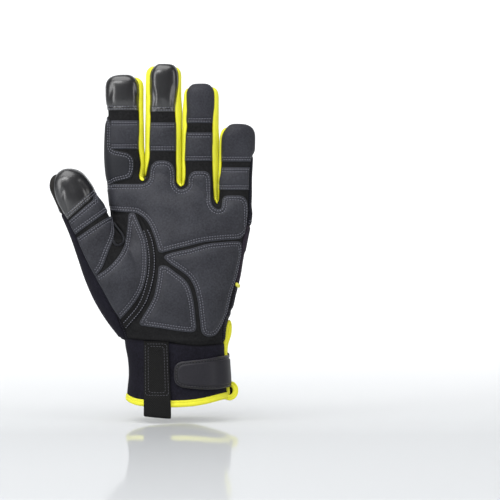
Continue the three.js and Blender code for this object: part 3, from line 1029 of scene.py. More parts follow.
@cache
def modelled_stitch() -> tuple[Array, list[Array]]:
    """Models one stitch: a short length of thread whose thinner ends dip into the leather.

    Returns:
        Its points, as shares of its length and radius along, across and up, and its faces with
        four corners and with five.
    """
    bpy.ops.object.select_all(action="DESELECT")
    bpy.ops.mesh.primitive_cylinder_add(
        vertices=5, radius=0.95, depth=0.56, location=(0.5, 0, 0.45), rotation=(0, math.pi / 2, 0)
    )
    piece = bpy.context.active_object
    bpy.ops.object.transform_apply(location=True, rotation=True, scale=True)
    for way, limit in ((-1, 0.3), (1, 0.7)):
        pick(piece, lambda place: (place.x - limit) * way > 0)
        bpy.ops.mesh.extrude_region_move(TRANSFORM_OT_translate={"value": (0.22 * way, 0, -0.8)})
        bpy.ops.transform.resize(value=(1, 0.53, 0.53), center_override=(0.5 + 0.5 * way, 0, -0.35))
        bpy.ops.object.mode_set(mode="OBJECT")
    points = np.array([vertex.co[:] for vertex in piece.data.vertices])
    # The operators number the corners and faces in another order on each run, so both are sorted.
    order = np.lexsort(points.round(4).T)
    number = np.argsort(order)
    faces = sorted(tuple(number[list(polygon.vertices)]) for polygon in piece.data.polygons)
    bpy.data.objects.remove(piece)
    return points[order], [np.array([f for f in faces if len(f) == size]) for size in (4, 5)]


@dataclass(frozen=True)
class Thread:
    """A row of stitches."""

    length: float = 1.3
    pitch: float = 1.95
    radius: float = 0.32

    def row(self, path: Path) -> Solid | None:
        """Copies of the modelled stitch along a path.

        Args:
            path: the line that the row follows.

        Returns:
            The stitches as one solid, or None where the path is too short.
        """
        count = int((path.length() - self.length * 0.5) / self.pitch)
        if count < 1:
            return None
        starts = (path.length() - count * self.pitch) / 2 + np.arange(count) * self.pitch
        head, up = path.at(starts)
        tail, _ = path.at(starts + self.length)
        across = unit(np.cross(unit(tail - head), up))
        form, faces = modelled_stitch()
        way = np.stack([tail - head, across * self.radius, up * self.radius], 1)
        points = head[:, None] + np.einsum("vk,nkc->nvc", form, way)
        base = (np.arange(count) * len(form))[:, None, None]
        copies = [(block[None] + base).reshape(-1, block.shape[1]) for block in faces]
        return outward(Solid(points.reshape(-1, 3), copies, np.full(count * len(form), LOOSE_EDGE)))

    def rows(self, paths: Sequence[Path], shortest: float = 5.0) -> list[Solid]:
        """Stitches along each path that is long enough."""
        rows = [self.row(p.even(0.9)) for p in paths if p.length() >= shortest]
        return [r for r in rows if r]


# Finishes


def tone(code: str) -> tuple[float, float, float, float]:
    """A linear colour from its six hexadecimal digits.

    Args:
        code: two digits each for red, green and blue.

    Returns:
        The colour with full alpha.
    """
    parts = [int(code[i: i + 2], 16) / 255 for i in (0, 2, 4)]
    linear = [p / 12.92 if p <= 0.04045 else ((p + 0.055) / 1.055) ** 2.4 for p in parts]
    return (*linear, 1.0)


class Tree:
    """Builds a node tree with few words."""

    def __init__(self, tree: NodeTree) -> None:
        """Keeps the tree to build in."""
        self.tree = tree

    def add(
        self, kind: str, inputs: dict[str | int, object] | None = None, **settings: object
    ) -> Node:
        """Adds a node.

        Args:
            kind: the node's type name without the ShaderNode at its start.
            inputs: values or output sockets by input name or number.
            settings: the node's own properties.

        Returns:
            The new node.
        """
        node = self.tree.nodes.new("ShaderNode" + kind)
        for name, value in settings.items():
            setattr(node, name, value)
        for name, value in (inputs or {}).items():
            if isinstance(value, NodeSocket):
                self.tree.links.new(value, node.inputs[name])
            else:
                node.inputs[name].default_value = value
        return node

    def math(self, operation: str, *values: object) -> NodeSocket:
        """The result of a Math node."""
        return self.add("Math", dict(enumerate(values)), operation=operation).outputs[0]

    def mix(self, factor: object, first: object, second: object) -> NodeSocket:
        """The result of a colour Mix node."""
        node = self.add("Mix", {0: factor, 6: first, 7: second}, data_type="RGBA")
        return node.outputs[2]


class Effect(Tree):
    """A shader node group with number inputs and outputs."""

    def __init__(self, name: str, **inputs: float) -> None:
        """Starts the group.

        Args:
            name: the group's name.
            inputs: its inputs with their usual values.
        """
        super().__init__(bpy.data.node_groups.new(name, "ShaderNodeTree"))
        for label, value in inputs.items():
            socket = self.tree.interface.new_socket(label, in_out="INPUT", socket_type="NodeSocketFloat")
            socket.default_value = value
        self.given = self.tree.nodes.new("NodeGroupInput").outputs
        self.place = self.add("TexCoord").outputs["Object"]

    def noise(self, scale: float | NodeSocket, **inputs: float) -> NodeSocket:
        """Noise over the piece's own coordinates."""
        return self.add("TexNoise", {"Vector": self.place, "Scale": scale, **inputs}).outputs[0]

    def wave(self, way: NodeSocket, pitch: str) -> NodeSocket:
        """A sine wave along a coordinate, as long as one of the inputs says."""
        turn = self.math("MULTIPLY", self.math("DIVIDE", way, self.given[pitch]), 2 * math.pi)
        return self.math("SINE", turn)

    def give(self, **outputs: NodeSocket) -> NodeTree:
        """Ends the group.

        Args:
            outputs: what each output puts out, by its name.

        Returns:
            The finished group.
        """
        for label in outputs:
            self.tree.interface.new_socket(label, in_out="OUTPUT", socket_type="NodeSocketFloat")
        out = self.tree.nodes.new("NodeGroupOutput")
        for label, value in outputs.items():
            self.tree.links.new(value, out.inputs[label])
        return self.tree


class Effects:
    """The effects that several finishes share, each as a node group."""

    def __init__(self) -> None:
        """Builds the groups once."""
        self.grain = self._grain()
        self.fuzz = self._fuzz()
        self.ribs = self._ribs()
        self.weave = self._weave()
        self.edge_shading = self._edge_shading()

    @staticmethod
    def _grain() -> NodeTree:
        """Fine leather grain: pebbles, pores and slow clouds of tone.

        Returns:
            The node group.
        """
        t = Effect("leather_grain", Scale=900.0, Depth=1.0)
        cells = t.add("TexVoronoi", {"Vector": t.place, "Scale": t.given["Scale"]}, feature="SMOOTH_F1")
        pores = t.noise(t.math("MULTIPLY", t.given["Scale"], 2.3), Detail=3.0)
        height = t.math("ADD", t.math("MULTIPLY", cells.outputs["Distance"], -0.8), pores)
        specks = t.math("MULTIPLY", t.noise(800.0, Detail=2.0), 0.5)
        cloud = t.math("MULTIPLY_ADD", t.noise(38.0, Detail=4.0), 0.5, specks)
        return t.give(Height=t.math("MULTIPLY", height, t.given["Depth"]), Cloud=cloud)

    @staticmethod
    def _fuzz() -> NodeTree:
        """Napped fibres: short tufts and brushed patches.

        Returns:
            The node group.
        """
        t = Effect("fibre_fuzz", Scale=1400.0)
        specks = t.math("MULTIPLY", t.noise(900.0, Detail=2.0), 0.65)
        brushed = t.math("MULTIPLY_ADD", t.noise(90.0, Detail=5.0, Distortion=0.6), 0.35, specks)
        return t.give(Height=t.noise(t.given["Scale"], Detail=5.0, Roughness=0.7), Brushed=brushed)

    @staticmethod
    def _ribs() -> NodeTree:
        """Ribs across the hand with a small knit stitch along them, and painted shade: the crest output is
        lighter on the ribs and darker in the hollows.

        Returns:
            The node group.
        """
        t = Effect("knit_ribs", Pitch=0.0015, Stitch=0.0011)
        x, _, z = t.add("SeparateXYZ", {0: t.place}).outputs
        rib = t.wave(z, "Pitch")
        knit = t.math("MULTIPLY", t.wave(x, "Stitch"), 0.35)
        return t.give(Height=t.math("ADD", rib, knit), Crest=t.math("MULTIPLY_ADD", rib, 0.5, 0.5))

    @staticmethod
    def _weave() -> NodeTree:
        """A fine basket of crossing yarns, with painted shade: the crest output is lighter on the yarns and
        darker in the hollows.

        Returns:
            The node group.
        """
        t = Effect("yarn_weave", Pitch=0.0009)
        x, y, z = t.add("SeparateXYZ", {0: t.place}).outputs
        side = t.math("ADD", x, t.math("MULTIPLY", y, 0.7))
        height = t.math("MULTIPLY", t.wave(side, "Pitch"), t.wave(z, "Pitch"))
        return t.give(Height=height, Crest=t.math("MULTIPLY_ADD", height, 0.5, 0.5))

    @staticmethod
    def _edge_shading() -> NodeTree:
        """Painted shade in the seams and painted highlight along the edges: how near an edge or seam is, with
        a ragged border.

        Returns:
            The node group.
        """
        t = Effect("painted_edge_shading", Width=1.2, Ragged=0.6)
        edge = t.add("Attribute", attribute_name="edge").outputs["Fac"]
        noise = t.math("SUBTRACT", t.noise(500.0, Detail=3.0), 0.5)
        ragged = t.math("MULTIPLY", noise, t.given["Ragged"])
        share = t.math("DIVIDE", t.math("ADD", edge, ragged), t.given["Width"])
        return t.give(Near=t.add("MapRange", {"Value": share, "To Min": 1.0, "To Max": 0.0}).outputs[0])


class Surface(Enum):
    """Which shared effect gives a finish its texture."""

    GRAIN = "grain"
    FUZZ = "fuzz"
    RIBS = "ribs"
    WEAVE = "weave"


@dataclass(frozen=True)
class Finish:
    """A material of the glove."""

    name: str
    slot: str
    base: str
    tint: str
    # Colour painted near edges and seams: painted shade where darker, painted highlight where lighter.
    edge: str
    surface: Surface
    size: float
    bump: float
    depth: float
    smooth: float
    rough: float
    near: float = 1.2
    sheen: float = 0.0
    sheen_tint: str = "808088"
    coat: float = 0.0
    specular: float = 0.5

    def material(self, effects: Effects) -> Material:
        """Builds the material.

        Args:
            effects: the shared node groups.

        Returns:
            The new material.
        """
        material = bpy.data.materials.new(self.name)
        material.use_nodes = True
        material.node_tree.nodes.clear()
        t = Tree(material.node_tree)
        scale = "Scale" if self.surface in (Surface.GRAIN, Surface.FUZZ) else "Pitch"
        texture = t.add("Group", node_tree=getattr(effects, self.surface.value))
        texture.inputs[scale].default_value = self.size
        if self.surface is Surface.RIBS:
            texture.inputs["Stitch"].default_value = self.size * 0.75
        # For ribs and weave the second output follows the relief, so the colour paints shade in the hollows
        # and light on the crests.
        second = texture.outputs[1]
        # Near edges and seams the finish's edge colour is painted: where darker it is painted shade in the
        # seams, where lighter a painted highlight along the edges.
        edge_shading = t.add("Group", node_tree=effects.edge_shading)
        edge_shading.inputs["Width"].default_value = self.near
        contrast = t.add("MapRange", {"Value": second, "From Min": 0.3, "From Max": 0.7})
        body = t.mix(contrast.outputs[0], tone(self.base), tone(self.tint))
        colour = t.mix(edge_shading.outputs["Near"], body, tone(self.edge))
        gloss = {"From Min": 0.25, "From Max": 0.75, "To Min": self.smooth, "To Max": self.rough}
        rough = t.add("MapRange", {"Value": second, **gloss})
        relief = {"Strength": self.bump, "Distance": self.depth * MM}
        bump = t.add("Bump", {"Height": texture.outputs[0], **relief})
        shader = t.add(
            "BsdfPrincipled",
            {
                "Base Color": colour,
                "Roughness": rough.outputs[0],
                "Normal": bump.outputs[0],
                "Sheen Weight": self.sheen,
                "Sheen Roughness": 0.4,
                "Sheen Tint": tone(self.sheen_tint),
                "Coat Weight": self.coat,
                "Coat Roughness": 0.22,
                "Specular IOR Level": self.specular,
            },
        )
        t.add("OutputMaterial", {0: shader.outputs[0]})
        return material


# The third colour of each finish is painted near its edges and seams: where darker it is painted shade in the
# seams, where lighter a painted highlight along the edges.
SUEDE = Finish(
    "black_suede", "suede", "151516", "262627", "0b0b0c", Surface.FUZZ, 1500, 0.5, 0.25, 0.85, 0.98,
    sheen=0.08, specular=0.08,
)
LEATHER = Finish(
    "charcoal_leather", "leather", "232328", "3d3e44", "404249", Surface.GRAIN, 1150, 0.16, 0.1, 0.42, 0.58,
    near=0.7, specular=0.2,
)
GLOSS = Finish(
    "polished_leather", "leather", "101013", "19191c", "0e0e10", Surface.GRAIN, 1100, 0.08, 0.08, 0.26, 0.4,
    near=0.6, coat=1.0, specular=0.6,
)
CAP = Finish(
    "matte_leather", "leather", "25252b", "3c3d43", "3f4148", Surface.GRAIN, 1300, 0.2, 0.1, 0.5, 0.62,
    near=0.7, specular=0.2,
)
BACK_CAP = Finish(
    "black_leather", "leather", "131211", "353331", "201f1e", Surface.GRAIN, 1000, 0.35, 0.15, 0.6, 0.75,
    near=0.7, specular=0.15,
)
SIDE_LEATHER = Finish(
    "side_leather", "leather", "212226", "2a2b30", "1a1b1e", Surface.GRAIN, 1200, 0.16, 0.1, 0.42, 0.58,
    near=0.8, specular=0.2,
)
JERSEY = Finish(
    "black_jersey", "cloth", "0e0d13", "22212b", "0f0e13", Surface.FUZZ, 2600, 0.3, 0.15, 0.75, 0.9,
    sheen=0.08, sheen_tint="4a4860", specular=0.12,
)
NEOPRENE = Finish(
    "jersey_neoprene", "neoprene", "19151b", "3a333e", "171419", Surface.FUZZ, 2300, 0.35, 0.15, 0.7, 0.88,
    sheen=0.08, sheen_tint="5a5460", specular=0.12,
)
KNIT = Finish(
    "ribbed_knit", "knit", "101016", "24242d", "0e0e12", Surface.RIBS, 0.0015, 0.6, 0.35, 0.65, 0.85,
    sheen=0.05, specular=0.12,
)
ELASTIC = Finish(
    "elastic_rib", "knit", "0e0e12", "2a2932", "0c0c10", Surface.RIBS, 0.0017, 0.7, 0.5, 0.6, 0.85,
    sheen=0.05, specular=0.12,
)
YELLOW = Finish(
    "yellow_elastane", "yellow", "e4e22c", "f1f056", "a7a205", Surface.RIBS, 0.0008, 0.3, 0.12, 0.5, 0.65,
    near=0.7, specular=0.15,
)
YELLOW_TRIM = Finish(
    "yellow_piping", "yellow", "e6e42a", "f4f17a", "b5b008", Surface.WEAVE, 0.0006, 0.2, 0.08, 0.35, 0.5,
    specular=0.3,
)
BINDING = Finish(
    "yellow_binding", "yellow", "dedc20", "efeb50", "a8a40c", Surface.WEAVE, 0.0007, 0.35, 0.12, 0.5, 0.65,
    specular=0.2,
)
WEBBING = Finish(
    "black_webbing", "webbing", "0d0d0d", "252525", "161616", Surface.WEAVE, 0.0013, 0.7, 0.3, 0.6, 0.85,
    near=0.6, specular=0.12,
)
RUBBER = Finish(
    "satin_rubber", "rubber", "121116", "1a191e", "222127", Surface.GRAIN, 1600, 0.06, 0.05, 0.28, 0.4,
    near=0.6, coat=0.5, specular=0.5,
)
GRIP_RUBBER = Finish(
    "matte_rubber", "rubber", "1c1b21", "27262c", "2a292f", Surface.GRAIN, 1600, 0.06, 0.05, 0.5, 0.62,
    near=0.6, coat=0.08, specular=0.3,
)
STRAP = Finish(
    "coated_strap", "webbing", "121115", "1d1c21", "2a2930", Surface.GRAIN, 1500, 0.08, 0.06, 0.42, 0.54,
    near=0.9, coat=0.15, specular=0.35,
)
THREAD = Finish(
    "grey_thread", "leather", "5f6069", "7b7c86", "6a6b74", Surface.WEAVE, 0.0005, 0.3, 0.05, 0.5, 0.7,
    specular=0.2,
)
DARK_THREAD = Finish(
    "dark_thread", "webbing", "3a3a3f", "525257", "404045", Surface.WEAVE, 0.0005, 0.3, 0.05, 0.5, 0.7,
    specular=0.2,
)


# For each gap, its line with the width that is closed at each height, and the heights it starts and ends at.
FINGER_GAPS = (
    (((150, -25, 0.5), (165, -24.87, 0.5), (178, -24.87, 0.4), (186, -24.87, 0)), 153, 215),
    (((145, 2.15, 0.5), (169, 2.17, 0.5), (188, 2.2, 0.4), (200, 2.3, 0.34), (210, 2.55, 0.6)), 149, 224),
    (((135, 28.2, 0.6), (150, 28.3, 0.6), (165, 28.7, 0.6), (182, 29.3, 0.5), (191, 29.6, 0.55)), 138, 201),
)


def closed_gaps(points: Array) -> Array:
    """Draws the fingers' facing sides together where they touch.

    Args:
        points: points of a finished piece.

    Returns:
        The points, moved only beside the gaps between the fingers.
    """
    x, z = points[:, 0].copy(), points[:, 2]
    for line, foot, top in FINGER_GAPS:
        table = np.array(line, float)
        middle = np.interp(z, table[:, 0], table[:, 1])
        half = np.interp(z, table[:, 0], table[:, 2])
        half = half * ease(-z, -top, GAP_FADE[1] - top) * ease(z, foot, foot + GAP_FADE[0])
        off = x - middle
        size = np.abs(off)
        closed = np.maximum(GAP_LEFT * size, size - half * bell(size, GAP_REACH))
        x = np.where(size < 4 * GAP_REACH, middle + np.sign(off) * closed, x)
    return np.column_stack([x, points[:, 1], z])


class Workshop:
    """Turns solids into Blender objects that ride on the frame and stand for its nodes."""

    def __init__(self) -> None:
        """Prepares the shared effects and an empty shelf of materials."""
        self.effects = Effects()
        self.materials: dict[str, Material] = {}
        self.triangles = 0

    def finish(self, finish: Finish) -> Material:
        """The material of a finish, built at its first use.

        Args:
            finish: the finish.

        Returns:
            Its material.
        """
        if finish.name not in self.materials:
            self.materials[finish.name] = finish.material(self.effects)
        return self.materials[finish.name]

    def make(
        self,
        name: str,
        solid: Solid,
        finish: Finish,
        nodes: Sequence[str] = (),
        fill: float | None = None,
    ) -> Object:
        """Makes a piece.

        Args:
            name: the piece's name.
            solid: its closed mesh.
            finish: its material.
            nodes: the frame's nodes that it stands for.
            fill: how full it is, if it is a padded piece; not used.

        Returns:
            The new object.
        """
        faces = [row for block in solid.faces for row in block.tolist()]
        mesh = bpy.data.meshes.new(name)
        mesh.from_pydata((closed_gaps(solid.points) * MM).tolist(), [], faces)
        edge = mesh.attributes.new("edge", "FLOAT", "POINT")
        edge.data.foreach_set("value", solid.edge.astype(np.float32))
        mesh.materials.append(self.finish(finish))
        piece = bpy.data.objects.new(name, mesh)
        bpy.context.collection.objects.link(piece)
        bpy.ops.object.select_all(action="DESELECT")
        piece.select_set(True)
        bpy.context.view_layer.objects.active = piece
        bpy.ops.object.shade_smooth_by_angle(angle=SHARP)
        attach(piece, "root")
        if nodes:
            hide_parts(*nodes)
        count = sum(len(f) - 2 for f in faces)
        self.triangles += count
        log.info("%s: %d triangles", name, count)
        return piece


# Panels


@dataclass(frozen=True)
class Crease:
    """A soft fold in a panel along a line of the X-Z plane."""

    line: Line
    depth: float
    width: float

    def depth_at(self, x: Array, z: Array) -> Array:
        """How deep the fold is at points, fading out towards its ends.

        Args:
            x: X of the points.
            z: Z of the points.

        Returns:
            A depth for each point.
        """
        points = np.array(self.line, float)
        best, share = np.full(len(x), np.inf), np.zeros(len(x))
        for number, ((x0, z0), (x1, z1)) in enumerate(zip(points, points[1:])):
            dx, dz = x1 - x0, z1 - z0
            t = np.clip(((x - x0) * dx + (z - z0) * dz) / (dx * dx + dz * dz), 0, 1)
            gap = (x - x0 - t * dx) ** 2 + (z - z0 - t * dz) ** 2
            share = np.where(gap < best, (number + t) / (len(points) - 1), share)
            best = np.minimum(best, gap)
        return self.depth * np.exp(-best / self.width**2) * np.sqrt(np.clip(4 * share * (1 - share), 0, 1))


# Each crease has its line in the palm view, its depth, which is negative for a ridge, and its half width.
PALM_FOLDS = (
    Crease(((14.7, 146.4), (24.4, 134.3), (41.2, 125.9)), 1.5, 5.5),
    Crease(((-21.4, 147), (-3.3, 141.6), (14.7, 134)), -1.2, 6.5),
    Crease(((-44, 147), (-34, 143), (-22, 133)), 1.2, 5.0),
    Crease(((-37.5, 120.5), (-31, 117.5), (-25.5, 112.5)), 0.5, 3.0),
    Crease(((-38.5, 112), (-32, 109), (-26.6, 104.5)), -0.4, 4.0),
    Crease(((22, 104), (30, 90), (33, 76), (31, 64)), 0.7, 6.0),
    Crease(((-22, 92), (-12, 84), (-4, 70)), -0.4, 6.0),
    Crease(((-47, 132.5), (-43.5, 129.5), (-39.6, 124.8)), -0.9, 1.3),
    Crease(((-48.5, 128.5), (-45, 126.5), (-41.5, 122.5)), 0.8, 1.4),
    Crease(((-47.8, 119.4), (-44.5, 116.6), (-41, 116.4), (-38.3, 118.2)), -0.8, 1.2),
    Crease(((-48, 122.5), (-44.5, 119.6), (-41, 119.4)), 0.7, 1.4),
    Crease(((-50.5, 137.2), (-44, 137.2), (-38, 136.8)), 0.9, 1.3),
    Crease(((-36, 50.5), (-18, 49.2), (2, 47.6), (22, 45.2)), 0.35, 1.5),
    Crease(((-30, 47), (-8, 45.6), (12, 44.2)), 0.25, 1.2),
)
CAP_PUCKERS = (
    Crease(((-49.5, 211), (-49.8, 222), (-48, 231)), 0.45, 1.5),
    Crease(((-31.6, 212), (-31, 223), (-33, 231)), 0.45, 1.5),
    Crease(((-19, 211), (-17.4, 221), (-18.6, 231)), 0.5, 1.4),
    Crease(((-4.6, 212), (-5.4, 223), (-3.8, 232)), 0.5, 1.5),
    Crease(((-12, 210), (-11.6, 216), (-12.4, 221)), 0.3, 1.2),
    Crease(((-83, 139), (-85.5, 147), (-84.5, 156)), 0.5, 1.6),
    Crease(((-66.5, 150), (-68.5, 156), (-73, 162)), 0.4, 1.6),
)
BACK_FOLDS = (
    Crease(((6, 96), (8, 74), (6, 52)), 0.3, 2.2),
    Crease(((15, 92), (16.5, 72), (15, 52)), 0.35, 1.8),
    Crease(((22, 88), (24, 70), (22.5, 53)), 0.4, 1.8),
    Crease(((28, 80), (30, 68), (36, 60)), 0.5, 1.6),
    Crease(((34, 70), (37, 67), (41, 66)), 0.9, 2.0),
)
WEB_CREASE = Crease(((-55.3, 150), (-55.1, 143.9), (-52.5, 132.8), (-57.5, 123.4), (-60.3, 118.5)), 1.5, 1.4)
THUMB_FOLDS = (
    Crease(((-55.5, 113.5), (-59, 106), (-63, 98)), 0.6, 1.6),
    Crease(((-52, 111), (-53, 100), (-52, 88)), 0.35, 2.0),
)


class Cutting:
    """The lines along which the hand form is cut into sewn panels.

    FRONT and SADDLE bound the palm panel before and behind the parting surface, and BACK bounds the
    back's panels. The open lines give Z over X, and SLIT gives the opening's half width over Z.
    """

    REACH = 60.0
    KNUCKLE_Z = 126.0
    TIPS_Y = -6.0
    THUMB_TIP_Y = -12.5
    THUMB_SIDE_Y = -6.0
    WEB_Y = 1.5
    FRONT = (
        (-75, 236), (-60, 252), (-46, 252), (-38, 242), (-35, 239.3), (-32.4, 237.3), (-30.4, 234.8),
        (-29.2, 231.5), (-28.8, 224.1), (-29.2, 216.8), (-28.8, 209.5), (-28.8, 198.6), (-29.2, 187.6),
        (-28.5, 180.3), (-27.7, 174.5), (-28.1, 169.4), (-28.8, 165), (-28.5, 162.8), (-27, 161.7),
        (-25.3, 162.8), (-24.5, 165), (-23.4, 170.8), (-21.9, 178.8), (-21.9, 187.6), (-21.5, 198.6),
        (-21.2, 207.3), (-21.5, 213.2), (-21.2, 220.5), (-21.5, 228), (-21.5, 234), (-21.3, 239),
        (-20.2, 242.4), (-18.6, 244.9), (-16, 247.6), (-15, 252), (-5.5, 252), (-4.4, 248), (-2.4, 245.4),
        (-1, 242.8), (-0.2, 239.5), (0, 234), (-0.4, 229.2), (-1.5, 221.9), (-2.6, 214.6), (-2.2, 205.9),
        (-1.8, 200), (-1.8, 176.7), (-1.5, 169.4), (-1.5, 162.1), (-0.2, 158.7), (1.5, 157.5),
        (3.1, 158.7), (4, 162.1), (4.4, 169.4), (4, 176.7), (4.4, 184), (4.7, 194.9), (5.5, 201.5),
        (5.1, 205.9), (5.5, 213.2), (5.2, 220.5), (5.3, 226.6), (6.6, 229.4), (8.8, 231.8), (12, 235.5),
        (20, 235.5), (22.8, 232.2), (24.8, 229.6), (25.9, 226), (26.1, 220.5), (25.9, 215), (25.2, 209.5),
        (24.8, 202.2), (24.8, 191.3), (24.5, 184), (24.8, 173), (25.2, 162.1), (25.6, 154.8),
        (26.1, 148.9), (27.4, 145.3), (28.7, 146.7), (29.2, 151.1), (29.6, 158.4), (30.3, 165.7),
        (30.7, 173), (30.7, 184), (31, 192.5), (32, 196.6), (34.2, 200.2), (36.5, 203.5), (40, 207.5),
        (48, 208), (54, 204), (57.5, 198), (58.5, 190), (57.5, 183.5), (54, 179.6), (52, 170.8),
        (51.4, 162.1), (51.4, 151.1), (51.1, 143.8), (51.1, 138), (49.9, 131.4), (48.8, 124.1),
        (46.9, 119), (46, 111), (44.7, 102.2), (43.3, 92.7), (41, 85.4), (39.6, 78.1), (38, 70.8),
        (36.5, 65.7), (34.3, 62.8), (32.5, 58.4), (32, 51.1), (31.4, 36), (20, 30), (-20, 30), (-36.5, 32),
        (-38, 46.7), (-43.1, 59.9), (-48.9, 68.6), (-54, 78.1), (-61.3, 91.2), (-65, 97.8), (-68.6, 105.1),
        (-72.3, 113.1), (-75.4, 120.5), (-78.8, 127), (-81.6, 132.9), (-85.4, 138.7), (-89.2, 146),
        (-91.2, 152), (-91.8, 157.4), (-91.2, 163), (-89.6, 166.6), (-87.2, 169.2), (-84.2, 172),
        (-80, 176), (-72, 184),
    )
    SADDLE = (
        (-52, 207.4), (-50.4, 207), (-49.4, 190.5), (-49.4, 171.5), (-47.6, 153.3), (-46.7, 136.5),
        (-46.2, 129), (-46.8, 121), (-49.5, 115.5), (-54, 112.8), (-60, 113.6), (-66, 119), (-70.5, 127),
        (-72.8, 134.5), (-72.4, 139.4), (-70, 143), (-67, 145.2), (-66.2, 148.6), (-70.1, 156.2),
        (-74.6, 164), (-78.6, 168.8), (-82, 171.2), (-85, 177), (-75, 190), (-59, 190), (-59, 204),
    )
    BACK = (
        (-130, 30), (-130, 258), (-60, 260), (-38, 250), (-34.5, 244), (-31, 238), (-29.3, 228),
        (-29.3, 212), (-29.3, 190), (-29.1, 170), (-28.9, 158), (-28.4, 153.8), (-27.2, 151.4),
        (-25.2, 150.4), (-23.2, 151.4), (-22, 153.8), (-21.6, 158), (-21.4, 172), (-20.7, 190),
        (-20.5, 215), (-20.5, 230), (-19.5, 239), (-17, 246), (-13, 252), (-7.5, 252), (-4.5, 248),
        (-2, 243), (-0.5, 236), (-0.2, 225), (-0.2, 200), (0.4, 172), (1, 158), (1.5, 153.6), (2.8, 151),
        (4.9, 150), (7, 151), (8.2, 153.6), (8.5, 158), (8.2, 172), (7.6, 190), (7.6, 212), (8.2, 220),
        (10, 228), (13.5, 236), (19, 237), (22.5, 233), (25, 228), (26.6, 221), (27, 210), (27, 190),
        (28, 172), (29.6, 154), (30.4, 146.4), (31.8, 142.8), (34.3, 141.2), (36.9, 142.8), (38.2, 146.4),
        (38.8, 154), (39, 165), (38, 178), (37.8, 186), (38.8, 194), (41.5, 203), (46, 210), (70, 230),
        (90, 200), (90, 30),
    )
    CUFF_TOP = (
        (-95, 46.7), (-38, 46), (-24.8, 44.5), (-6.6, 43.1), (4.4, 41.6), (15.3, 40.9), (31.4, 42.3),
        (60, 44.5),
    )
    CUFF_TOP_BACK = ((-95, 47), (-38, 46.7), (-22, 43.5), (3, 41.3), (20, 42.5), (32, 45.3), (60, 47))
    THUMB_BACK = (
        (30, -38), (44.3, -38), (64, -44), (76, -46), (87, -48), (100, -50), (117, -49.5), (160, -48),
    )
    BACK_CAPS = (
        (-60, 203), (-50.4, 206.6), (-40.2, 211.3), (-31.8, 212.2), (-24, 212), (-21.5, 212.6),
        (-12.2, 215.4), (-2, 214.8), (2, 214), (7, 211), (9.2, 210.2), (19.5, 206.6), (27.7, 199.3),
        (30, 197), (36, 195), (38.5, 193.6), (46.4, 190.3), (53.4, 181.5), (57, 177),
    )
    KNUCKLES = (
        (-70, 130), (-47.5, 134.5), (-33, 138.7), (-15, 140), (3, 140), (17.5, 138.7), (36, 134.3),
        (47.5, 130), (70, 122),
    )
    PIPING = (
        (-60, 66), (-47, 77.5), (-42, 82), (-37, 86.4), (-31, 91.7), (-25, 96.8), (-21, 99.8),
        (-17.5, 101.5), (-13, 102.3), (0, 102), (8, 101.4), (18, 99.7), (26, 98.2), (30, 96.8), (34, 93.6),
        (38, 89.8), (42, 86), (46, 82), (60, 72),
    )
    THUMB_CAP_BACK = ((-109.2, 125), (-55.2, 151.3))
    HEM_FRONT = (
        (-42, 5.0), (-38, 4.4), (-36, 3.5), (-33, 2.4), (-29, 1.6), (-20, 1.2), (0, 0.9), (14, 1.9),
        (24, 3.7), (30, 5.0), (45, 6.0),
    )
    HEM_BACK = (
        (-42, 5.0), (-38, 4.0), (-34, 1.8), (-26, -0.7), (-6, -3.0), (4, -3.3), (12, -2.4), (20, 0),
        (30, 3), (45, 5.5),
    )
    SLIT = ((-20, 3.4), (0, 3.0), (20, 2.2), (45, 1.6), (56, 1.3), (58.5, 0.9), (59.5, 0))
    SLIT_Y = 1.0

    def __init__(self) -> None:
        """Prepares the outlines."""
        self.front_line = Outline(self.FRONT)
        self.saddle_line = Outline(self.SADDLE)
        self.back_line = Outline(self.BACK)

    @staticmethod
    def graph(line: Line, x: Array) -> Array:
        """Height of a smooth open line over X, or the other way round."""
        return Profile(line).at(x)

    def behind(self, points: Array) -> Array:
        """How far points are behind the surface that parts palm side and back.

        Args:
            points: points as rows of X, Y and Z.

        Returns:
            A distance for each point, positive at the back.
        """
        x, y, z = points.T
        along, across = THUMB.place(points)
        fingers = self.TIPS_Y * np.clip((z - self.KNUCKLE_Z) / 110, 0, 1.1) ** 2
        thumb = self.THUMB_TIP_Y + (self.WEB_Y - self.THUMB_TIP_Y) * ease(70 - along, 0, 26)
        thumb = np.where(along < 44, self.WEB_Y * ease(along, 20, 44), thumb)
        thumb = np.where(across < 0, np.minimum(thumb, self.THUMB_SIDE_Y), thumb)
        at_thumb = (x < -49) & (z < 172) & (x < -49 - (z - 133) * 0.45)
        return y - np.where(at_thumb, thumb, fingers)

    def hem(self, points: Array) -> Array:
        """How far points are above the middle of the hem.

        Args:
            points: points as rows of X, Y and Z.

        Returns:
            A distance for each point, positive above the hem.
        """
        x, y, z = points.T
        front, back = self.graph(self.HEM_FRONT, x), self.graph(self.HEM_BACK, x)
        return z - front + (front - back) * ease(y, -8, 8)

    def cuff(self, skin: Skin) -> Array:
        """Level of the cuff, which is the lowest panel.

        Args:
            skin: the surface to cut.

        Returns:
            A level for each vertex, negative on the cuff.
        """
        x, y, z = skin.points.T
        seen_x, seen_z = skin.front()
        front = seen_z - self.graph(self.CUFF_TOP, seen_x)
        back = z - self.graph(self.CUFF_TOP_BACK, x)
        return front + (back - front) * ease(y, -10, 10)

    def slit(self, points: Array) -> Array:
        """Level of the cuff's opening on the little finger's side.

        Args:
            points: points as rows of X, Y and Z.

        Returns:
            A level for each point, negative in the opening.
        """
        x, y, z = points.T
        table = np.array(self.SLIT, float)
        half = np.interp(z, table[:, 0], table[:, 1], right=-1.0)
        half = np.where(z > table[-1, 0], (table[-1, 0] - z) * 0.6, half)
        return np.where(x > 10, np.abs(y - self.SLIT_Y) - half, FAR)

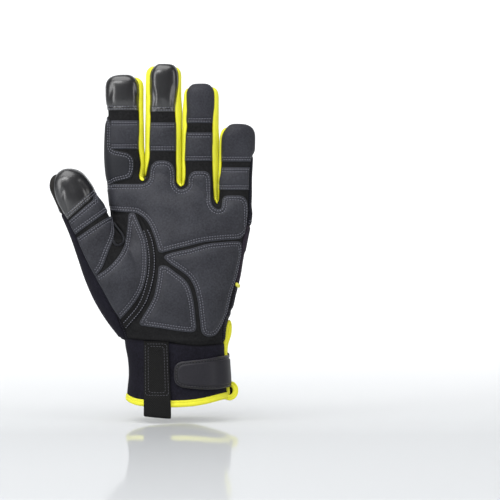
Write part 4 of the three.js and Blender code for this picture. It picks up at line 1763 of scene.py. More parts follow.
    def front(self, skin: Skin) -> Array:
        """Level of the palm-side panel, which wraps the index finger's side and the thumb's web.

        Args:
            skin: the surface to cut.

        Returns:
            A level for each vertex, negative on the panel.
        """
        x, z = skin.front()
        behind = self.behind(skin.points)
        palm = np.maximum(behind, self.front_line.level(x, z, self.REACH))
        back_x, _, back_z = skin.points.T
        wrap = np.maximum(-behind, self.saddle_line.level(back_x, back_z, self.REACH))
        return np.minimum(palm, wrap)

    def thumb_back(self, skin: Skin) -> Array:
        """Level of the thumb's back and outer side."""
        x, _, z = skin.points.T
        return np.maximum(x - self.graph(self.THUMB_BACK, z), z - 176)

    def gussets(self, skin: Skin) -> Array:
        """Level of the strips between the fingers.

        Args:
            skin: the surface to cut.

        Returns:
            A level for each vertex, negative on the strips.
        """
        x, y, z = skin.points.T
        outside = -self.back_line.level(x, z, self.REACH)
        back = np.maximum(-self.behind(skin.points), outside)
        front = np.maximum(self.behind(skin.points), -1.0)
        region = np.minimum(back, front)
        between = np.maximum(-39.0 - x, x - 43.0)
        return np.maximum(np.maximum(region, between), 138 - z)


class Glove:
    """The sewn glove: the hand form, its panels and what is sewn onto them."""

    BOX = ((-97.0, 60.0), (-33.0, 31.0), (-8.0, 250.0))
    WALL = 1.2
    CUFF_SEAM = 0.5
    SEAM_DEPTH = 0.75
    SEAM_WIDTH = 1.1
    WEB_FOLD = (
        (-47.6, 131), (-45.6, 127.8), (-43.2, 124.9), (-40.7, 121), (-40.4, 117.6), (-42.3, 115.2),
        (-44.9, 114.1), (-47.2, 115.4), (-48, 118),
    )

    def __init__(self, workshop: Workshop) -> None:
        """Meshes the hand form and prepares the cutting lines.

        Args:
            workshop: what makes the pieces.
        """
        self.shop = workshop
        self.form = HandForm()
        self.cutting = Cutting()
        points, faces = surface_net(self.form.value, *self.grid())
        points = self._relaxed(points, faces)
        normals = unit(self.form.gradient(points, 0.4))
        self.whole = Skin(points, normals, faces, np.zeros(len(points)), np.zeros(len(points), bool))
        log.info("hand form: %d points, %d triangles", len(points), len(faces))

    @staticmethod
    def grid() -> tuple[Array, Array, Array]:
        """Grid positions along each axis, closer together at the gaps between the fingers.

        Returns:
            The positions along X, Y and Z.
        """
        (left, right), depth, height = Glove.BOX
        x = [left]
        while x[-1] < right:
            gap = min(abs(x[-1] - middle) for middle in GAPS)
            x.append(x[-1] + (FINE_CELL if gap < FINE_REACH else CELL))
        return np.array(x), np.arange(*depth, CELL), np.arange(*height, CELL)

    def _relaxed(self, points: Array, faces: Array, rounds: int = 2) -> Array:
        """Evens out the mesh while it stays on the form.

        Args:
            points: the mesh's points.
            faces: its triangles.
            rounds: how often it is evened out.

        Returns:
            The moved points.
        """
        a, b = sides(faces).T
        count = np.bincount(a, minlength=len(points))[:, None]
        points = self.form.settle(points, 1)
        for _ in range(rounds):
            sums = np.stack([np.bincount(a, points[b, c], len(points)) for c in range(3)], 1)
            points = self.form.settle(points * 0.4 + sums / count * 0.6, 1)
        return points

    def sewn(self, skin: Skin, depth: float) -> tuple[Skin, Array]:
        """Turns a panel's edges in along its seams.

        Args:
            skin: the panel.
            depth: how deep the seam is.

        Returns:
            The panel with its new heights, and each vertex's distance from the seam.
        """
        edge = skin.seam_distance()
        skin.shift = skin.shift - depth * bell(edge, self.SEAM_WIDTH)
        return skin, edge

    def palm_path(self, line: Line) -> Path:
        """A path on the palm side from a line drawn in the palm view.

        Args:
            line: points of the line, as the palm view sees them.

        Returns:
            The smooth path, with the surface's outward directions.
        """
        seen = np.array(line, float)
        marks = np.arange(len(seen)) * 1.0
        seen = np.stack([Profile(np.column_stack([marks, seen])).values[:, c] for c in (0, 1)], 1)
        x, z = seen.T
        for _ in range(4):
            y = self.form.front_y(x, z)
            share = (y - EYE[1]) / -EYE[1]
            x = EYE[0] + (seen[:, 0] - EYE[0]) * share
            z = EYE[2] + (seen[:, 1] - EYE[2]) * share
        points = np.column_stack([x, self.form.front_y(x, z), z])
        return Path(points, unit(self.form.gradient(points, 0.4)), False)

    def panel(
        self,
        name: str,
        skin: Skin,
        finish: Finish,
        nodes: Sequence[str],
        folds: Sequence[Crease] = (),
        depth: float | None = None,
    ) -> Skin:
        """Makes one sewn panel as a closed wall.

        Args:
            name: the piece's name.
            skin: its outer surface.
            finish: its material.
            nodes: the frame's nodes that it stands for.
            folds: soft folds in it.
            depth: how deep its seams are, or the usual depth.

        Returns:
            The surface with its new heights.
        """
        x, _, z = skin.points.T
        skin.shift = skin.shift - sum(fold.depth_at(x, z) for fold in folds)
        skin, edge = self.sewn(skin, depth or self.SEAM_DEPTH)
        self.shop.make(name, shell(skin, edge, self.WALL), finish, nodes)
        return skin

    def build(self) -> None:
        """Cuts and makes every panel and the fold at the thumb's web."""
        cut = self.cutting
        bottom = self.whole.trimmed(-cut.hem(self.whole.points))
        open_hand = bottom.trimmed(-cut.slit(bottom.points))
        cuff = open_hand.trimmed(cut.cuff(open_hand))
        rest = open_hand.trimmed(-cut.cuff(open_hand))
        front = rest.trimmed(cut.front(rest))
        rest = rest.trimmed(-cut.front(rest))
        thumb = rest.trimmed(cut.thumb_back(rest))
        rest = rest.trimmed(-cut.thumb_back(rest))
        gussets = rest.trimmed(cut.gussets(rest))
        back = rest.trimmed(-cut.gussets(rest))
        self.back_rest = back
        self.palm_rest = front.trimmed(np.full(len(front.points), -1.0))
        self.panel("cuff_jersey", cuff, JERSEY, ["cuff_band"], depth=self.CUFF_SEAM)
        front = Skin(front.points, front.normals, front.faces, front.shift.copy(), front.cut)
        front.shift -= sum(fold.depth_at(*front.front()) for fold in PALM_FOLDS)
        self.panel("palm_suede", front, SUEDE, ["palm_panel"])
        self.web_fold()
        self.build_thumb_back(thumb)
        self.build_gussets(gussets)
        self.build_back(back)

    def web_fold(self) -> None:
        """Makes the loose fold of suede at the thumb's web."""
        path = self.palm_path(self.WEB_FOLD).even(0.6, 3)
        solid = sweep(path, rounded_bar(1.7, 1.5, 12, 2.0), 0.35, rounded_ends(path, 1.2))
        self.shop.make("web_fold", solid, SIDE_LEATHER)

    def build_thumb_back(self, thumb: Skin) -> None:
        """Makes the jersey on the thumb's outer side and the leather cap on its back.

        Args:
            thumb: the surface of the thumb's back.
        """
        level = self.thumb_cap_level(thumb.points)
        self.panel("thumb_back_jersey", thumb.trimmed(-level), JERSEY, ["thumb_back_panel"], THUMB_FOLDS)
        self.thumb_cap = self.panel("thumb_back_leather", thumb.trimmed(level), BACK_CAP, ["thumb_back_cap"])

    def thumb_cap_level(self, points: Array) -> Array:
        """Level of the leather cap on the thumb's back.

        Args:
            points: points as rows of X, Y and Z.

        Returns:
            A level for each point, negative on the cap.
        """
        (x0, z0), (x1, z1) = self.cutting.THUMB_CAP_BACK
        length = math.hypot(x1 - x0, z1 - z0)
        return ((points[:, 0] - x0) * (z1 - z0) - (points[:, 2] - z0) * (x1 - x0)) / length

    def build_gussets(self, gussets: Skin) -> None:
        """Makes the yellow strips between the fingers.

        Args:
            gussets: the surface between the fingers.
        """
        x = gussets.points[:, 0]
        spans = (("index_middle", -60, -11), ("middle_ring", -11, 16), ("ring_little", 16, 60))
        for name, low, high in spans:
            part = gussets.trimmed(np.maximum(low - x, x - high))
            self.panel(f"gusset_{name}", part, YELLOW, [f"fourchette_{name}"], depth=0.5)

    def build_back(self, back: Skin) -> None:
        """Makes the finger caps, knit, neoprene and elastic of the hand's back.

        Args:
            back: the surface of the hand's back.
        """
        cut = self.cutting
        level = back.points[:, 2] - cut.graph(cut.BACK_CAPS, back.points[:, 0])
        caps, back = back.trimmed(-level), back.trimmed(level)
        x = caps.points[:, 0]
        spans = (("index", -60, -25.3), ("middle", -25.3, 3), ("ring", 3, 30), ("little", 30, 60))
        self.caps = []
        for name, low, high in spans:
            part = caps.trimmed(np.maximum(low - x, x - high))
            self.caps.append(self.panel(f"{name}_back_leather", part, BACK_CAP, [f"{name}_back_cap"]))
        level = back.points[:, 2] - cut.graph(cut.KNUCKLES, back.points[:, 0])
        knit, back = back.trimmed(-level), back.trimmed(level)
        self.knit = self.panel("knit_back", knit, KNIT, ["knit_back_panel"])
        level = back.points[:, 2] - cut.graph(cut.PIPING, back.points[:, 0])
        self.panel("neoprene_back", back.trimmed(-level), NEOPRENE, ["neoprene_back_panel"])
        self.panel("elastic_back", back.trimmed(level), ELASTIC, ["elastic_back_panel"], BACK_FOLDS)


# Patches


@dataclass(frozen=True)
class Patch:
    """An overlay sewn onto the palm side, drawn as the palm view sees it."""

    name: str
    node: str
    finish: Finish
    outline: Line
    rows: tuple[float, ...] = (1.4, 3.2)
    puff: float = 0.7
    bend: bool = True
    wrap: float = 0.8
    bare_left: float = -FAR
    fill: float | None = None
    seam: float = 1.3
    stitch_top: float = FAR


def band(left: float, right: float, top: float, bottom: float) -> Line:
    """Corners of an upright rectangle in the palm view."""
    return ((left, bottom), (left, top), (right, top), (right, bottom))


def finger_cap(finger: str, finish: Finish, outline: Line, rows: tuple[float, float], puff: float) -> Patch:
    """The leather over a fingertip."""
    return Patch(f"{finger}_cap", f"{finger}_tip_patch", finish, outline, rows, puff, False, seam=3.4)


def finger_pad(finger: str, outline: Line, bare_left: float = -FAR) -> Patch:
    """The padded leather over a finger's middle."""
    names = f"{finger}_pad", f"{finger}_middle_patch"
    return Patch(*names, LEATHER, outline, (1.3, 3.1), 0.8, False, bare_left=bare_left)


UPPER_PALM = (
    (-62, 159.1), (-56, 159.1), (-49.6, 159.1), (-39.4, 159.1), (-29.9, 159.1), (-25.6, 159.5),
    (-22.6, 161.3), (-21.2, 165), (-20.8, 169.4), (-19.7, 173), (-16.8, 175.6), (-12.4, 176.3),
    (-8, 175.6), (-5.1, 173.4), (-3.6, 169.4), (-3.3, 163.5), (-2.9, 159.1), (-0.7, 155.9), (1.5, 155.1),
    (4.4, 155.9), (6.6, 158.4), (6.9, 162.8), (8, 166.1), (10.9, 168.3), (15.3, 168.6), (19.7, 168.3),
    (22.3, 165.7), (23, 160.6), (23, 153.3), (23.4, 146.7), (24.8, 143.1), (27.7, 140.9), (30.7, 141.3),
    (31.4, 144.5), (32.1, 148.2), (34.3, 150.4), (40.9, 150.7), (46, 150.4), (48.9, 147.5), (50, 142.3),
    (50, 136.5), (49.6, 129.2), (48.9, 124.1), (46.7, 121.2), (43.1, 119), (33.6, 118.3), (22.6, 117.2),
    (15.3, 116.1), (8, 114.2), (0.7, 112.4), (-6.6, 110.6), (-12.4, 109.1), (-15, 110.2), (-16.1, 114.6),
    (-18.2, 121.2), (-21.2, 128.5), (-24.8, 133.6), (-28.5, 136.5), (-32.1, 138.3), (-39.4, 138.7),
    (-49.3, 139.4), (-56, 139.6), (-62, 139.6),
)
THENAR = (
    (-36.5, 137.2), (-37.2, 131.4), (-38, 124.1), (-39.4, 116.1), (-43.1, 108), (-48.9, 100.7),
    (-54.8, 95.6), (-62, 90.6), (-66, 84), (-60, 72), (-50, 56), (-46, 56), (-43.4, 59.9), (-39.4, 64.2),
    (-35, 69.3), (-30.7, 75.2), (-27, 81.8), (-24.8, 88.3), (-23.4, 96.4), (-23, 105.1), (-23.4, 112.4),
    (-24.8, 119.7), (-27.7, 127), (-30.7, 133.6), (-32.9, 138),
)
HYPOTHENAR = (
    (-10.9, 105.8), (-6.6, 108.4), (0.7, 110.2), (8, 111.7), (15.3, 113.9), (22.6, 115.7), (29.9, 116.4),
    (38.7, 117.2), (44.5, 116.8), (45.6, 113.9), (45.3, 107.3), (43.8, 100), (42.3, 92.7), (40.1, 85.4),
    (38, 78.1), (36.5, 70.8), (35, 65), (32.1, 58.4), (29.2, 52.6), (26.3, 48.9), (21.9, 47.8),
    (18.2, 48.9), (16.1, 52.6), (15.3, 59.9), (14.6, 65.7), (13.9, 72.3), (12.4, 79.6), (10.9, 84.7),
    (8, 89.8), (4.4, 93.4), (-0.7, 97.1), (-6.6, 101.1),
)
HEEL = (
    (-14.6, 98.5), (-11.7, 99.6), (-8, 98.5), (-2.2, 94.2), (3.6, 89.8), (7.3, 84.7), (9.5, 78.1),
    (10.9, 70.8), (12, 59.9), (12.4, 54), (10.9, 51.5), (6.6, 51.1), (-2.9, 52.2), (-13.9, 54),
    (-24.8, 55.5), (-27.7, 56.2), (-28.5, 58.4), (-25.6, 63.5), (-21.2, 70.8), (-18.2, 77.4),
    (-16.4, 85.4), (-15.3, 92.7),
)
SIDE_STRIP = (
    (-54.4, 212.5), (-51.2, 207.3), (-49.3, 202.2), (-49.2, 187.6), (-47.6, 184.4), (-43.1, 183.2),
    (-38, 182.1), (-35, 180.3), (-33.2, 177.4), (-32.9, 173), (-33.2, 168.6), (-33.9, 165.7),
    (-35.8, 163.2), (-39.4, 162.1), (-44.5, 161), (-47.4, 159.9), (-50, 158.4), (-62, 158.4), (-65, 184),
    (-62, 213),
)
THUMB_PAD = (
    (-95, 105.5), (-74.5, 119.9), (-51.1, 135.2), (-48.6, 130.5), (-47.3, 124.1), (-48.2, 118.3),
    (-51.1, 111), (-53.3, 105.1), (-55.5, 99.3), (-58.4, 94.9), (-62, 91), (-70, 84), (-90, 90),
)
THUMB_STRIP = (
    (-98, 117), (-79.4, 133.2), (-60.1, 149.8), (-48, 159.6), (-44, 145.2), (-54, 138), (-75.9, 122.3),
    (-92, 110.8),
)
THUMB_CAP = ((-99, 118.1), (-79.9, 134.8), (-60.6, 151.9), (-52, 159.6), (-56, 205), (-120, 205), (-120, 117))
BAND_LINE = (
    (-29.6, 136.4, 0.5), (-27.4, 131.9, 1.4), (-24.7, 126.2, 2.1), (-22.1, 119.8, 2.6), (-20.3, 111, 2.7),
    (-19.7, 102.2, 2.7), (-20.4, 92.7, 2.7), (-22.6, 83.2, 2.7), (-25.6, 74.5, 2.7), (-29.9, 67.2, 2.7),
    (-35, 61.3, 2.7), (-39.4, 56.4, 2.7), (-44, 51.2, 2.7), (-49, 45.6, 2.7),
)


def ribbon(line: Line) -> Line:
    """Outline of a strip along a line of points with half widths.

    Args:
        line: rows of X, Z and half width.

    Returns:
        The outline's corners.
    """
    table = np.array(line, float)
    points, half = table[:, :2], table[:, 2:]
    along = np.gradient(points, axis=0)
    along /= np.linalg.norm(along, axis=1)[:, None]
    across = np.stack([-along[:, 1], along[:, 0]], 1) * half
    return [tuple(p) for p in np.vstack([points + across, (points - across)[::-1]])]


PATCHES = (
    finger_cap("index", GLOSS, band(-70, -25.3, 260, 213), (1.1, 2.9), 0.7),
    finger_pad("index", band(-49.4, -25.3, 205.5, 184.7), bare_left=-48.6),
    finger_cap("middle", GLOSS, band(-25.3, 1.5, 260, 212), (1.1, 2.9), 0.7),
    finger_pad("middle", band(-25.3, 1.5, 204, 183.2)),
    finger_cap("ring", CAP, band(1.5, 27.7, 260, 203.7), (1.3, 3.1), 0.6),
    finger_pad("ring", band(1.5, 27.7, 196.7, 176)),
    finger_cap("little", CAP, band(27.7, 70, 230, 175.6), (1.3, 3.1), 0.6),
    finger_pad("little", band(27.7, 70, 171.2, 154.8)),
    Patch("thumb_cap", "thumb_tip_patch", GLOSS, THUMB_CAP, (1.1, 2.9), 0.45, False, wrap=FAR, seam=6),
    Patch("thumb_strip", "thumb_strip_patch", LEATHER, THUMB_STRIP, (1.2, 2.9), 0.5, False),
    Patch("thumb_root_pad", "thumb_pad", LEATHER, THUMB_PAD, puff=0.9, fill=0.7),
    Patch("upper_pad", "upper_palm_pad", LEATHER, UPPER_PALM, puff=1.0, fill=0.7),
    Patch("thenar_pad", "thenar_patch", LEATHER, THENAR, puff=0.9, fill=0.7),
    Patch("hypothenar_cushion", "hypothenar_pad", LEATHER, HYPOTHENAR, puff=1.4, fill=0.7),
    Patch("heel_cushion", "heel_pad", LEATHER, HEEL, puff=1.4, fill=0.7),
    Patch("thenar_band", "suede_band", SUEDE, ribbon(BAND_LINE), (0.85,), 0.0, stitch_top=126),
)


@dataclass(frozen=True)
class Patchwork:
    """Sews the patches onto the palm side."""

    glove: "Glove"
    edge_height: float = 0.35
    seam_height: float = 0.15
    roll_height: float = 0.6
    roll_width: float = 0.5
    stitch_depth: float = 0.3
    stitch_width: float = 0.42
    puff_width: float = 2.2
    hidden: float = -0.45
    fine: float = 4.6
    cap_foot: float = 65.2
    web_top: float = 65.3
    thumb_side: float = -56.5
    level_reach: float = 20.0
    clear_of_seam: float = 1.0
    clear_of_side: float = 2.5
    thread: Thread = Thread()

    def build(self) -> None:
        """Makes every patch with its stitching."""
        palm = self.glove.palm_rest
        seam = palm.points[palm.border()]
        behind = self.glove.cutting.behind(palm.points)
        x, z = palm.front()
        for patch in PATCHES:
            level = Outline(patch.outline, patch.bend).level(x, z, self.level_reach)
            if patch.wrap == FAR:
                level = np.where(behind > 0, self.cap_foot - THUMB.place(palm.points)[0], level)
            self.sew(patch, palm.trimmed(np.maximum(level, behind - patch.wrap)), seam)
        self.side_leather(palm, seam, behind)

    def folds(self, skin: Skin) -> Array:
        """How deep the palm's soft folds are at a skin's points."""
        x, z = skin.front()
        return sum(fold.depth_at(x, z) for fold in PALM_FOLDS)

    def height(self, patch: Patch, edge: Array, seam: Array) -> Array:
        """Height of a patch over the palm.

        Args:
            patch: the patch.
            edge: distance of its vertices from its own cut edge.
            seam: their distance from the panel's seam.

        Returns:
            The heights.
        """
        rise = self.edge_height + self.roll_height * (1 - bell(edge, self.roll_width))
        for row in patch.rows:
            rise -= self.stitch_depth * bell(edge, self.stitch_width, row)
        inside = np.maximum(edge - patch.rows[-1], 0)
        rise += patch.puff * (1 - np.exp(-inside / self.puff_width))
        turn = self.glove.SEAM_DEPTH * bell(seam, self.glove.SEAM_WIDTH)
        return self.seam_height + (rise - self.seam_height) * (1 - bell(seam, patch.seam)) - turn

    def sew(self, patch: Patch, skin: Skin, seam_points: Array) -> None:
        """Makes one patch and its rows of stitches.

        Args:
            patch: the patch.
            skin: the stretch of the palm that it covers.
            seam_points: points of the palm panel's seam.
        """
        sewn = skin.cut & (skin.front()[0] > patch.bare_left)
        edge_points = skin.points[sewn]
        edge = skin.distance_to(edge_points)
        skin = skin.refined(edge < self.fine, self.glove.form)
        edge = skin.distance_to(edge_points)
        seam = skin.distance_to(seam_points)
        skin.shift = self.height(patch, edge, seam) - self.folds(skin)
        if patch.finish is GLOSS:
            x, z = skin.front()
            skin.shift -= sum(pucker.depth_at(x, z) for pucker in CAP_PUCKERS) * (1 - np.exp(-edge / 2))
        solid = shell(skin, np.minimum(edge, seam), floor=self.hidden)
        self.glove.shop.make(patch.name, solid, patch.finish, [patch.node], fill=patch.fill)
        in_front = self.glove.cutting.behind(skin.points) < -self.clear_of_side
        keep = (seam > self.clear_of_seam) & (in_front | (patch.wrap == FAR))
        keep &= skin.points[:, 2] < patch.stitch_top
        rows = [s for row in patch.rows for s in self.thread.rows(skin.trace(edge - row, keep))]
        if rows:
            self.glove.shop.make(f"{patch.name}_stitches", Solid.joined(rows), THREAD)

    def side_leather(self, palm: Skin, seam_points: Array, behind: Array) -> None:
        """Makes the leather along the index finger's side, which runs down round the thumb's web.

        Args:
            palm: the palm panel.
            seam_points: points of its seam.
            behind: how far its vertices are behind the palm side.
        """
        x, z = palm.front()
        strip = np.maximum(behind, Outline(SIDE_STRIP).level(x, z, self.level_reach))
        along, _ = THUMB.place(palm.points)
        at_thumb = palm.points[:, 0] < self.thumb_side
        web = np.maximum(-behind, np.where(at_thumb, along - self.web_top, -FAR))
        patch = Patch("side_leather", "index_side_patch", SIDE_LEATHER, (), (1.3, 3.0), 0.6)
        skin = palm.trimmed(np.minimum(strip, web))
        edge = skin.distance_to(skin.points[skin.cut])
        seam = skin.distance_to(seam_points)
        skin = skin.refined(np.minimum(edge, seam) < self.fine, self.glove.form)
        edge = skin.distance_to(skin.points[skin.cut])
        seam = skin.distance_to(seam_points)
        skin.shift = self.height(patch, edge, seam)
        back = self.glove.cutting.behind(skin.points)
        depth = WEB_CREASE.depth_at(skin.points[:, 0], skin.points[:, 2]) * ease(back, 0, 3)
        skin.shift = np.maximum(skin.shift - depth, np.minimum(skin.shift, 0.2))
        solid = shell(skin, np.minimum(edge, seam), floor=self.hidden)
        self.glove.shop.make(patch.name, solid, patch.finish, [patch.node])
        keep = (back < -1.5) & (seam > 1.2)
        rows = [s for row in patch.rows for s in self.thread.rows(skin.trace(edge - row, keep))]
        rows += self.thread.rows(skin.trace(seam - 2.0, (back > 1) & (edge > 1.5)))
        self.glove.shop.make("side_leather_stitches", Solid.joined(rows), THREAD)


# Trims


@dataclass(frozen=True)
class Trims:
    """The yellow piping and bindings, and the stitches along the back's seams."""

    glove: "Glove"
    piping: float = 2.8
    piping_depth: float = 2.4
    hem_height: float = 4.9
    hem_depth: float = 3.0
    slit_width: float = 4.2
    slit_depth: float = 3.6
    flare_z: float = 52.0
    thread: Thread = Thread(length=1.9, pitch=2.5, radius=0.3)

    CURL = (
        (30.2, -9.8, 6.4), (34.0, -7.0, 4.6), (37.6, -4.8, 3.6), (40.4, -2.8, 5.4), (41.3, -0.9, 8.8),
        (40.3, 0.4, 11.8), (37.8, 1.0, 13.2), (35.2, 0.8, 12.4),
    )
    LINING = ((37.0, 1.8, 4.0), (37.4, 2.2, 8.0), (36.6, 2.4, 12.0))

    def build(self) -> None:
        """Makes the trims."""
        self.back_piping()
        self.hem_binding()
        self.slit_binding()
        self.back_stitches()

    def back_piping(self) -> None:
        """Makes the piping between the neoprene and the elastic."""
        back, cut = self.glove.back_rest, self.glove.cutting
        level = back.points[:, 2] - cut.graph(cut.PIPING, back.points[:, 0])
        path = back.trace(level)[0].even(1.0, 4)
        section = rounded_bar(self.piping, self.piping_depth, 14, 2.2)
        solid = sweep(path, section, 0.25, rounded_ends(path, 1.4))
        self.glove.shop.make("piping", solid, YELLOW_TRIM, ["back_piping"])

    def hem_binding(self) -> None:
        """Makes the binding round the wrist end."""
        whole, cut = self.glove.whole, self.glove.cutting
        path = whole.trace(cut.hem(whole.points), cut.slit(whole.points) > 0)[0].even(1.2, 6)
        solid = sweep(path, self.folded_bar(self.hem_height, self.hem_depth), -0.4, rounded_ends(path, 1.6))
        self.glove.shop.make("hem_edge", solid, BINDING, ["hem_binding"])

    @staticmethod
    def folded_bar(width: float, height: float) -> Array:
        """Cross-section of a folded binding, with a shallow groove where it is stitched.

        Args:
            width: full width across.
            height: full height.

        Returns:
            Offsets for each corner.
        """
        section = rounded_bar(width, height, 30, 2.5)
        groove = bell(section[:, 0], 0.5, 0.1 * width)
        section[:, 1] -= 0.6 * np.sign(section[:, 1]) * groove
        return section

    def slit_binding(self) -> None:
        """Makes the binding up one side of the opening and down the other, and its curled corner."""
        whole, cut = self.glove.whole, self.glove.cutting
        path = whole.trace(cut.slit(whole.points), cut.hem(whole.points) > -0.5)[0].even(1.0, 8)
        _, y, z = path.points.T
        flare = bell(z, 10, self.flare_z)
        lift = 0.2 + (3.4 * ease(y, -1.5, 3.5) - 0.9) * flare
        section = rounded_bar(self.slit_width, self.slit_depth, 16, 2.6)
        parts = [sweep(path, section, lift, rounded_ends(path, 1.8)), self.corner()]
        self.glove.shop.make("slit_edge", Solid.joined(parts), BINDING, ["slit_binding"])
        facing = np.tile([0, -1.0, 0], (len(self.LINING), 1))
        lining = Path(np.array(self.LINING), facing, False).even(1.0, 1)
        solid = sweep(lining, rounded_bar(5.2, 1.4), 0.0, rounded_ends(lining, 1.5))
        self.glove.shop.make("corner_lining", solid, JERSEY)

    def corner(self) -> Solid:
        """The hem's binding where it curls outwards below the strap.

        Returns:
            The curled length of binding.
        """
        knots = np.array(self.CURL, float)
        marks = np.arange(len(knots)) * 2.0
        profile = Profile(np.column_stack([marks, knots]))
        points = np.stack([profile.values[:, c] for c in range(3)], 1)
        facing = np.tile([0.25, -1.0, 0.0], (len(points), 1))
        path = Path(points, unit(facing), False).even(0.8, 2)
        return sweep(path, self.folded_bar(4.2, 2.4), 0.0, rounded_ends(path, 1.2))

    def back_stitches(self) -> None:
        """Makes the double rows over the knuckle seam and the cap seams."""
        cut, thumb = self.glove.cutting, self.glove.thumb_cap
        jobs = [(self.glove.knit, cut.KNUCKLES, (1.7, 3.6))]
        jobs += [(cap, cut.BACK_CAPS, (1.5, 3.2)) for cap in self.glove.caps]
        jobs.append((thumb, None, (1.5, 3.2)))
        rows = []
        for skin, line, offsets in jobs:
            if line:
                above = (skin.points[:, 2] - cut.graph(line, skin.points[:, 0])) * 0.985
            else:
                above = -self.glove.thumb_cap_level(skin.points)
            seam = skin.seam_distance()
            for offset in offsets:
                rows += self.thread.rows(skin.trace(above - offset, seam > 0.4))
        self.glove.shop.make("back_seam_stitches", Solid.joined(rows), THREAD)


# Closure


@dataclass(frozen=True)
class Closure:
    """The hook-and-loop strap round the cuff's little-finger side."""

    glove: "Glove"
    lift: float = 3.1
    plate: float = 0.75
    low: float = 2.5
    high: float = 41.0
    left: float = -30.0
    inner_side: float = 0.9
    rolled_edge: float = 0.55
    welt: float = 0.35
    stitch_groove: float = 0.3
    sunk_panel: float = 0.35
    plate_overlap: float = 0.4
    thread: Thread = Thread(length=1.5, pitch=2.2, radius=0.2)

    FRONT = (
        (60, 38), (45, 36.2), (33.6, 34.2), (25, 32.6), (15.3, 31), (4.4, 29.9), (0.4, 29.1), (-1.9, 27.5),
        (-3.3, 24.8), (-3.6, 20), (-3.3, 16), (-1.7, 13), (0.8, 11.3), (4.4, 10.3), (15.3, 9.2), (26, 9.2),
        (33.5, 10.6), (45, 12.6), (60, 13),
    )
    BACK = (
        (60, 38), (45, 37.4), (34, 36), (28.5, 32), (17.5, 29), (-4, 28), (-22, 28.3), (-24.6, 27.3),
        (-25.9, 24.8), (-26.2, 18), (-25.8, 12), (-24.4, 9.6), (-21, 8.9), (-14, 8.3), (-4.4, 7.6),
        (6.6, 6.7), (12.4, 5.6), (17.5, 7.2), (21, 8.8), (26, 10.6), (34, 12.4), (45, 13), (60, 13),
    )
    GRIP = (
        (60, 34), (45, 33), (33, 31.8), (26.5, 30.6), (15.3, 29), (4.4, 27.8), (1.6, 27), (0, 25.4),
        (-0.9, 22.5), (-0.9, 17.5), (-0.1, 14.4), (1.6, 12.9), (4.4, 12.3), (15.3, 11.5), (26.5, 11.5),
        (33, 12.6), (45, 14.6), (60, 15),
    )
    BACK_PLATE = (
        (14, 24.6), (6, 23.7), (-6, 23.4), (-19.6, 24), (-21, 23.2), (-21.5, 21.6), (-21.5, 14.2),
        (-20.8, 12.7), (-19.2, 12.1), (-6, 11.3), (6, 10.6), (14, 10.2),
    )

    def sleeve(self, points: Array) -> Array:
        """Approximate distance from the plain cuff that the strap wraps."""
        return self.glove.form.ring(self.glove.form.cuff_shape, *points.T)

    def wrapped(self) -> Skin:
        """The cuff's surface without its slit, smoothed into an even tube.

        Returns:
            The tube's surface.
        """
        whole = self.glove.whole
        x, _, z = whole.points.T
        skin = whole.trimmed(np.maximum(np.maximum(self.low - z, z - self.high), self.left - x))
        points = skin.points
        for _ in range(4):
            slope = slopes(self.sleeve, points, 0.2)
            share = self.sleeve(points) / np.maximum((slope**2).sum(1), 0.1)
            points = points - slope * share[:, None]
        return Skin(points, unit(slope), skin.faces, skin.shift, skin.cut)

    @staticmethod
    def seen_from_back(points: Array) -> tuple[Array, Array]:
        """X and Z at which the back view sees points on the plane of Y 0."""
        scale = BACK_EYE[1] / (BACK_EYE[1] - points[:, 1])
        return points[:, 0] * scale, BACK_EYE[2] + (points[:, 2] - BACK_EYE[2]) * scale

    def region(self, skin: Skin, front: Line, back: Line) -> Array:
        """Level of a stretch that is drawn in the palm view and the back view.

        Args:
            skin: the surface to cut.
            front: outline in the palm view, if it has one.
            back: outline in the back view, if it has one.

        Returns:
            A level for each vertex, negative inside.
        """
        x, z = skin.front()
        ahead = Outline(front).level(x, z, Cutting.REACH) if front else np.full(len(x), FAR)
        x, z = self.seen_from_back(skin.points)
        rear = Outline(back).level(x, z, Cutting.REACH) if back else np.full(len(x), FAR)
        return np.where(skin.points[:, 1] < 0, ahead, rear)

    @staticmethod
    def finer(skin: Skin) -> Skin:
        """The skin with triangles half as wide, still on the even tube."""
        return skin.refined(np.ones(len(skin.points), bool))

    def build(self) -> None:
        """Makes the strap and its two rubber faces."""
        tube = self.wrapped()
        body = self.finer(tube.trimmed(self.region(tube, self.FRONT, self.BACK)))
        edge = body.seam_distance()
        body.shift = self.lift - self.rolled_edge * bell(edge, 0.5)
        body.shift += self.welt * bell(edge, 0.55, 1.0)
        body.shift -= self.stitch_groove * bell(edge, 0.5, 2.1)
        make = self.glove.shop.make
        make("strap_body", shell(body, edge, floor=self.inner_side), STRAP, ["closure_strap"])
        make("strap_stitches", Solid.joined(self.thread.rows(body.trace(edge - 1.6))), DARK_THREAD)
        for name, node, front, back in (
            ("strap_front_face", "strap_grip_plate", self.GRIP, ()),
            ("strap_back_face", "strap_back_plate", (), self.BACK_PLATE),
        ):
            face = self.finer(tube.trimmed(self.region(tube, front, back)))
            edge = face.seam_distance()
            face.shift = self.lift + self.plate * (1 - bell(edge, 0.55))
            if back:
                face.shift -= self.sunk_panel * bell(edge, 0.5, 1.7)
            wall = shell(face, edge, floor=self.lift - self.plate_overlap)
            make(name, wall, RUBBER if back else GRIP_RUBBER, [node])


# Pull tab


